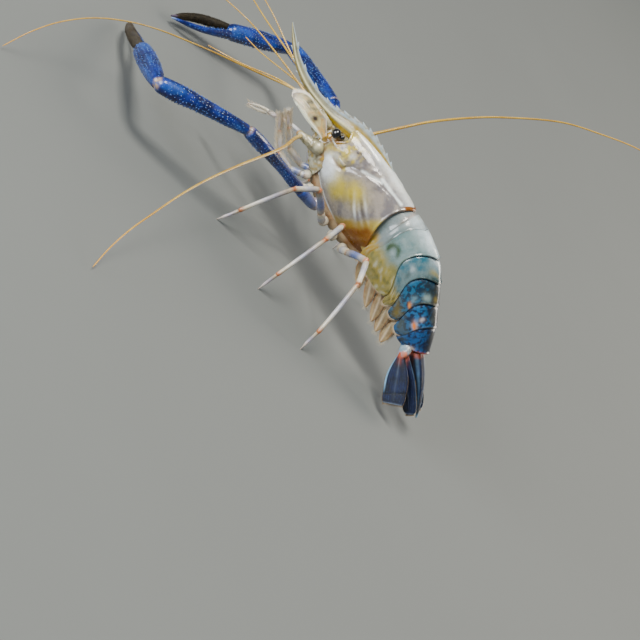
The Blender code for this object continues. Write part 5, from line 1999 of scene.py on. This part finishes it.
def swimmerBaseZones(t, a):
    return (0.3, 0.4 * smoothStep(0.8, 1.0, t), 0, 0)


def swimmerZones(t, u):
    edge = 0.6 * smoothStep(0.75, 1.0, abs(u))
    return (0.5 * hump(u, 0, 0.2), 0.3 * smoothStep(0.8, 1.0, t), 0.2 * hump(abs(u), 0.35, 0.1), edge)


def branchCentre(branch, t):
    centre = branch["root"] + branch["ahead"] * (branch["length"] * t - 1.0)
    return centre + Vector((0, branch["spread"] * (0.25 + 0.75 * t), 0))


def branchHalfWidth(t):
    outline = math.sin(math.pi * min(1.0, 0.10 + 0.90 * t)) ** 0.7
    return 0.35 + (swimmers["halfWidth"] - 0.1) * outline


def addBranchBlade(build, branch, side):
    s = swimmers
    slices = []
    for k in range(s["rows"] + 1):
        t = k / s["rows"]
        centre, half = branchCentre(branch, t), branchHalfWidth(t)
        upper, lower, marks = [], [], []
        for i in range(s["columns"] + 1):
            u = -1 + 2 * i / s["columns"]
            thick = s["halfThickness"] * (0.35 + 0.9 * hump(u, 0, 0.25)) * (1 - 0.5 * t)
            if i in (0, s["columns"]):
                thick *= 0.3
            point = centre + branch["across"] * half * u + Vector((0, 0.5 * (1 - u * u) * side, 0))
            upper.append(point + Vector((0, thick, 0)))
            lower.append(point - Vector((0, thick, 0)))
            marks.append(swimmerZones(t, u))
        slices.append((upper, lower, marks))
    addBlade(build, slices)


# Bristles along both sides of a branch and then round its tip
def addBranchFringe(fringe, branch, draw):
    s = swimmers
    ahead, across = branch["ahead"], branch["across"]

    def addOne(root, heading, lengths, spot):
        length = draw.uniform(*lengths)
        addBristle(
            fringe, root, heading, length, s["bristleRadius"], s["bristleDroop"], spot, s["bristleZone"],
        )

    for t in (k / s["rows"] for k in range(s["rows"] + 1)):
        if t > s["bareShare"]:
            centre, half = branchCentre(branch, t), branchHalfWidth(t)
            for way in (-1, 1):
                root = centre + across * half * way * 0.97
                heading = across * way * (1 - 0.6 * t) + ahead * (0.8 + t)
                addOne(root, heading, s["sideLengths"], (0.1 + 0.8 * t, 0.5 + 0.4 * way))
    tip = branch["root"] + ahead * (branch["length"] - 1.3) + Vector((0, branch["spread"], 0))
    for k in range(s["tipBristles"]):
        u = -1 + 2 * k / (s["tipBristles"] - 1)
        heading = ahead + across * u * 0.6
        addOne(tip + across * 0.8 * u, heading, s["tipLengths"], (0.93, 0.5 + 0.4 * u))


def makeSwimmer(number, label, side):
    s = swimmers
    place = number - 1 + s["share"]
    edge, upward, _, height = segmentFrame(place)
    y = side * along(place, list(range(7)), abdomen["halfWidth"]) * 0.42
    root = edge + upward * (height * abdomen["bellyRise"] - 1.0) + Vector((0, y, 0))
    down = -upward
    length = s["blades"][number - 1]
    elbow = root + down * (1.0 + s["base"] * (0.6 + 0.4 * length / max(s["blades"])))
    tailward = Vector((-down.z, 0, down.x))
    backDown = tailward * math.cos(s["sweep"]) + down * math.sin(s["sweep"])
    across = Vector((0, 1, 0)).cross(backDown).normalized()
    build, fringe = newBuild(), newBuild()
    addArticle(build, root, elbow, s["baseRadii"], 0.6, 20, 0.0, 0.75, swimmerBaseZones)
    draw = random.Random(s["seed"] + number)
    for outward, reach in s["branches"]:
        branch = {
            "root": elbow, "ahead": backDown, "across": across,
            "length": length * reach, "spread": side * outward,
        }
        addBranchBlade(build, branch, side)
        addBranchFringe(fringe, branch, draw)
    node = f"pleopod_{number}_{label}"
    makePiece(f"swimmer{number}_{label}", build, swimmerPaint, [node])
    makePiece(f"swimmerFringe{number}_{label}", fringe, bristlePaint, [node])


for number in range(1, 6):
    for label, side in sides.items():
        makeSwimmer(number, label, side)
print("swimming legs made")

# Tail fan: the telson and two pairs of blades
tail = {
    "telsonRoot": (59.6, 0, 30.8),
    "telsonTip": (87.0, 0, 11.6),
    "telsonHalfWidths": (4.4, 4.2, 3.7, 3.0, 2.2, 0.6),
    "telsonHalfHeights": (2.8, 2.6, 2.3, 1.8, 1.2, 0.5),
    "telsonArch": 1.4,
    "telsonRows": 60,
    "telsonColumns": 36,
    "telsonSpines": (0.55, 0.76),
    "stub": ((52.6, 3.4, 29.8), (56.2, 6.9, 26.6)),
    "stubRadii": (2.8, 3.4, 3.6, 2.8),
    "stubFlatten": 0.62,
    "rootOffset": (1.0, -0.9, 0.7),
    "inner": {"tip": (83.6, 5.6, 11.6), "halfWidth": 4.3, "lean": (0.35, 0.2, 0.6), "end": 0.4},
    "outer": {"tip": (74.6, 12.6, 9.4), "halfWidth": 6.0, "lean": (0.5, 0.0, 0.8), "end": 0.8},
    "rows": 60,
    "columns": 30,
    "rootHalfWidth": 0.9,
    "widest": 0.6,
    "thickness": 0.8,
    "rays": 9,
    "crossLine": 0.8,
    "crossWidth": 0.02,
    "tipBristles": 90,
    "fringeLength": 1.3,
    "seed": 55,
}

fanPaint = shellMaterial(
    "fanShell",
    base=(0, 22, 64),
    shade=(0, 10, 34),
    pale=(156, 172, 186),
    warm=(206, 92, 44),
    dark=(4, 8, 16),
    edge=(136, 186, 220),
    speck=(70, 96, 120),
    wet=0.45,
    dry=0.65,
    coat=0.0,
    mottleScale=230.0,
    zoneScale=300.0,
    speckScale=1500.0,
    speckShare=0.4,
    flesh=0.04,
)

basePaint = shellMaterial(
    "uropodBase",
    base=(126, 138, 140),
    shade=(64, 86, 108),
    pale=(214, 204, 184),
    warm=(206, 108, 62),
    dark=(20, 40, 70),
    edge=(150, 196, 222),
    mottleScale=420.0,
    zoneScale=420.0,
    flesh=0.05,
)


# How near a place is to the line across the outer blade
def nearCrossLine(t, u):
    return hump(t, tail["crossLine"] - 0.04 * u, tail["crossWidth"])


def fanZones(t, u, isOuter):
    pale = 0.35 * smoothStep(0.97, 1.0, t) + 0.25 * hump(u, 0, 0.1) * (1 - t)
    warm = 0.9 * smoothStep(0.14, 0.03, t) + 0.35 * smoothStep(0.3, 0.1, t) * hump(u, 0, 0.4)
    dark = 0.45 * hump((u * tail["rays"] / 2) % 1, 0.5, 0.16) + 0.5 * hump(abs(u), 0.8, 0.05)
    if isOuter:
        dark += 0.8 * nearCrossLine(t, u)
        rim = smoothStep(0.8, 0.92, -u) * smoothStep(0.85, 0.6, t)
    else:
        rim = 0.1 * smoothStep(0.9, 0.97, abs(u))
    return (clamp(pale), clamp(warm), clamp(dark), clamp(rim))


# Half width of a blade at t along it
def fanHalfWidth(shape, t):
    widest = tail["widest"]
    if t < widest:
        outline = math.sin(math.pi / 2 * t / widest) ** 1.1
    else:
        outline = math.sqrt(1 - (1 - shape["end"] ** 2) * ((t - widest) / (1 - widest)) ** 6)
    return mix(tail["rootHalfWidth"], shape["halfWidth"], outline)


# Thickness of a blade from its middle to one face, without its rays
def fanThickness(t, u, isOuter):
    thick = tail["thickness"] / 2 * (1 - 0.5 * t) * (1 - 0.5 * u * u)
    thick += 0.55 * (1 - t) * hump(u, 0.0, 0.12)
    thick += (0.35 if isOuter else 0.1) * hump(abs(u), 0.94, 0.06) * (1 - 0.6 * t)
    if isOuter:
        thick -= 0.1 * nearCrossLine(t, u)
    return thick


# Bristles along both sides of a blade and then across its end
def addFanFringe(fringe, root, tip, across, shape, draw):
    rows, number, size = tail["rows"], tail["tipBristles"], tail["fringeLength"]
    ahead = (tip - root).normalized()
    for t in (k / rows for k in range(rows + 1)):
        if t > 0.4:
            for way in (-1, -1, 1, 1):
                place = root.lerp(tip, t) + across * fanHalfWidth(shape, t) * way * 0.96
                place += ahead * draw.uniform(-0.2, 0.2)
                heading = across * way * (1.2 - t) + ahead
                length = size * draw.uniform(0.6, 1.0)
                spot = (0.1 + 0.8 * t, 0.5 + 0.4 * way)
                addBristle(fringe, place, heading, length, 0.06, (0, 0, 0), spot, (0, 0.2, 0.8, 0))
    for k in range(number):
        u = -1 + 2 * k / (number - 1)
        place = root.lerp(tip, 0.99) + across * fanHalfWidth(shape, 1.0) * u
        length = size * draw.uniform(0.9, 1.3)
        spot = (0.93, 0.5 + 0.4 * u)
        heading = ahead + across * 0.3 * u
        addBristle(fringe, place, heading, length, 0.07, (0, 0, 0), spot, (0, 0.2, 0.7, 0))


def addFanBlade(build, fringe, root, shape, side, draw):
    root, tip = onSide(root, side), onSide(shape["tip"], side)
    ahead = (tip - root).normalized()
    lean = onSide(shape["lean"], side)
    across = (lean - ahead * lean.dot(ahead)).normalized()
    facing = ahead.cross(across).normalized()
    rows, columns, rays = tail["rows"], tail["columns"], tail["rays"]
    isOuter = shape is tail["outer"]
    slices = []
    for k in range(rows + 1):
        t = k / rows
        centre, half = root.lerp(tip, t), fanHalfWidth(shape, t)
        upper, lower, marks = [], [], []
        for i in range(columns + 1):
            u = -1 + 2 * i / columns
            ray = 0.1 * math.cos(u * math.pi * rays) * smoothStep(0.15, 0.4, t)
            thick = fanThickness(t, u, isOuter) * (0.35 if i in (0, columns) else 1.0)
            point = centre + across * half * u + facing * 0.5 * (1 - u * u)
            upper.append(point + facing * (thick + ray))
            lower.append(point - facing * (thick - ray * 0.5))
            marks.append(fanZones(t, u, isOuter))
        slices.append((upper, lower, marks))
    addFanFringe(fringe, root, tip, across, shape, draw)
    addBlade(build, slices)


# The pale, light blue end of the telson is a painted glint
def telsonZones(t, a):
    beside, above = math.sin(a), max(0.0, math.cos(a))
    pale = 0.9 * smoothStep(0.94, 1.0, t) + 0.4 * hump(beside, 0, 0.18) * above
    dark = 0.5 * hump(abs(beside), 0.6, 0.15) + 0.5 * smoothStep(0.6, 0.9, t)
    edge = 0.15 * smoothStep(0.85, 1.0, abs(beside)) + 0.5 * smoothStep(0.9, 1.0, t)
    return (clamp(pale), clamp(0.9 * smoothStep(0.1, 0.02, t)), clamp(dark), clamp(edge))


def makeTelson():
    fan = tail
    build = newBuild()
    root, tip = Vector(fan["telsonRoot"]), Vector(fan["telsonTip"])
    ahead = (tip - root).normalized()
    upward = Vector((0, 1, 0)).cross(ahead) * -1
    count = fan["telsonColumns"]
    rows, zones = [], []
    for k in range(fan["telsonRows"] + 1):
        t = k / fan["telsonRows"]
        halfWidth, halfHeight = graded(fan["telsonHalfWidths"], t), graded(fan["telsonHalfHeights"], t)
        centre = root.lerp(tip, t) + upward * fan["telsonArch"] * math.sin(math.pi * t)
        row = []
        for a in (2 * math.pi * i / count for i in range(count)):
            beside, above = math.sin(a), max(0.0, math.cos(a))
            keel = 0.3 * hump(beside, 0, 0.25) * (1 - t)
            keel -= 0.22 * hump(beside, 0.45, 0.12) + 0.22 * hump(beside, -0.45, 0.12)
            rise = halfHeight * math.cos(a) + keel * above
            row.append(centre + Vector((0, halfWidth * beside, 0)) + upward * rise)
        rows.append(row)
        zones.append([telsonZones(t, 2 * math.pi * i / count) for i in range(count)])
    addGrid(build, rows, zones, closed=True)
    for t in fan["telsonSpines"]:
        rise = fan["telsonArch"] * math.sin(math.pi * t) + graded(fan["telsonHalfHeights"], t) * 0.75
        for side in sides.values():
            beside = Vector((0, side * graded(fan["telsonHalfWidths"], t) * 0.55, 0))
            place = root.lerp(tip, t) + beside + upward * rise
            heading = ahead + upward * 0.25
            addSpine(build, place, heading, 1.5, 0.28, count=6, rings=4, tipZone=(0.9, 0, 0, 0))
    makePiece("telsonShell", build, fanPaint, ["telson"])


def stubZones(t, a):
    above = 0.5 + 0.5 * math.cos(a)
    cloud = noise.noise(Vector((t * 4, math.cos(a) * 1.5, math.sin(a) * 1.5)))
    pink = clamp(1.2 * smoothStep(0.55, 0.8, t) * clamp(0.5 + 3.0 * cloud))
    return (0.4 * hump(t, 0.45, 0.15) * above, pink, 0.5 * smoothStep(0.4, 0.1, t), 0.6 * (1 - above))


def makeTail():
    fan = tail
    makeTelson()
    build = newBuild()
    for side in sides.values():
        start, end = (onSide(p, side) for p in fan["stub"])
        far = end + (end - start) * 0.3
        shape = {"flatten": fan["stubFlatten"], "rough": 0.12}
        addArticle(build, start, far, fan["stubRadii"], 0.4, 28, zoneAt=stubZones, **shape)
    makePiece("uropodBases", build, basePaint, ["abdomen_6"])
    stubEnd = Vector(fan["stub"][1])
    offset = Vector(fan["rootOffset"])
    draw = random.Random(fan["seed"])
    for label, side in sides.items():
        for name, node, root, shape in (
            ("innerUropod_", "inner_uropod_", stubEnd + offset, fan["inner"]),
            ("outerUropod_", "outer_uropod_", stubEnd - offset, fan["outer"]),
        ):
            build, fringe = newBuild(), newBuild()
            addFanBlade(build, fringe, root, shape, side, draw)
            makePiece(name + label, build, fanPaint, [node + label])
            makePiece(name + "fringe_" + label, fringe, bristlePaint, [node + label])


makeTail()
print("tail fan made")
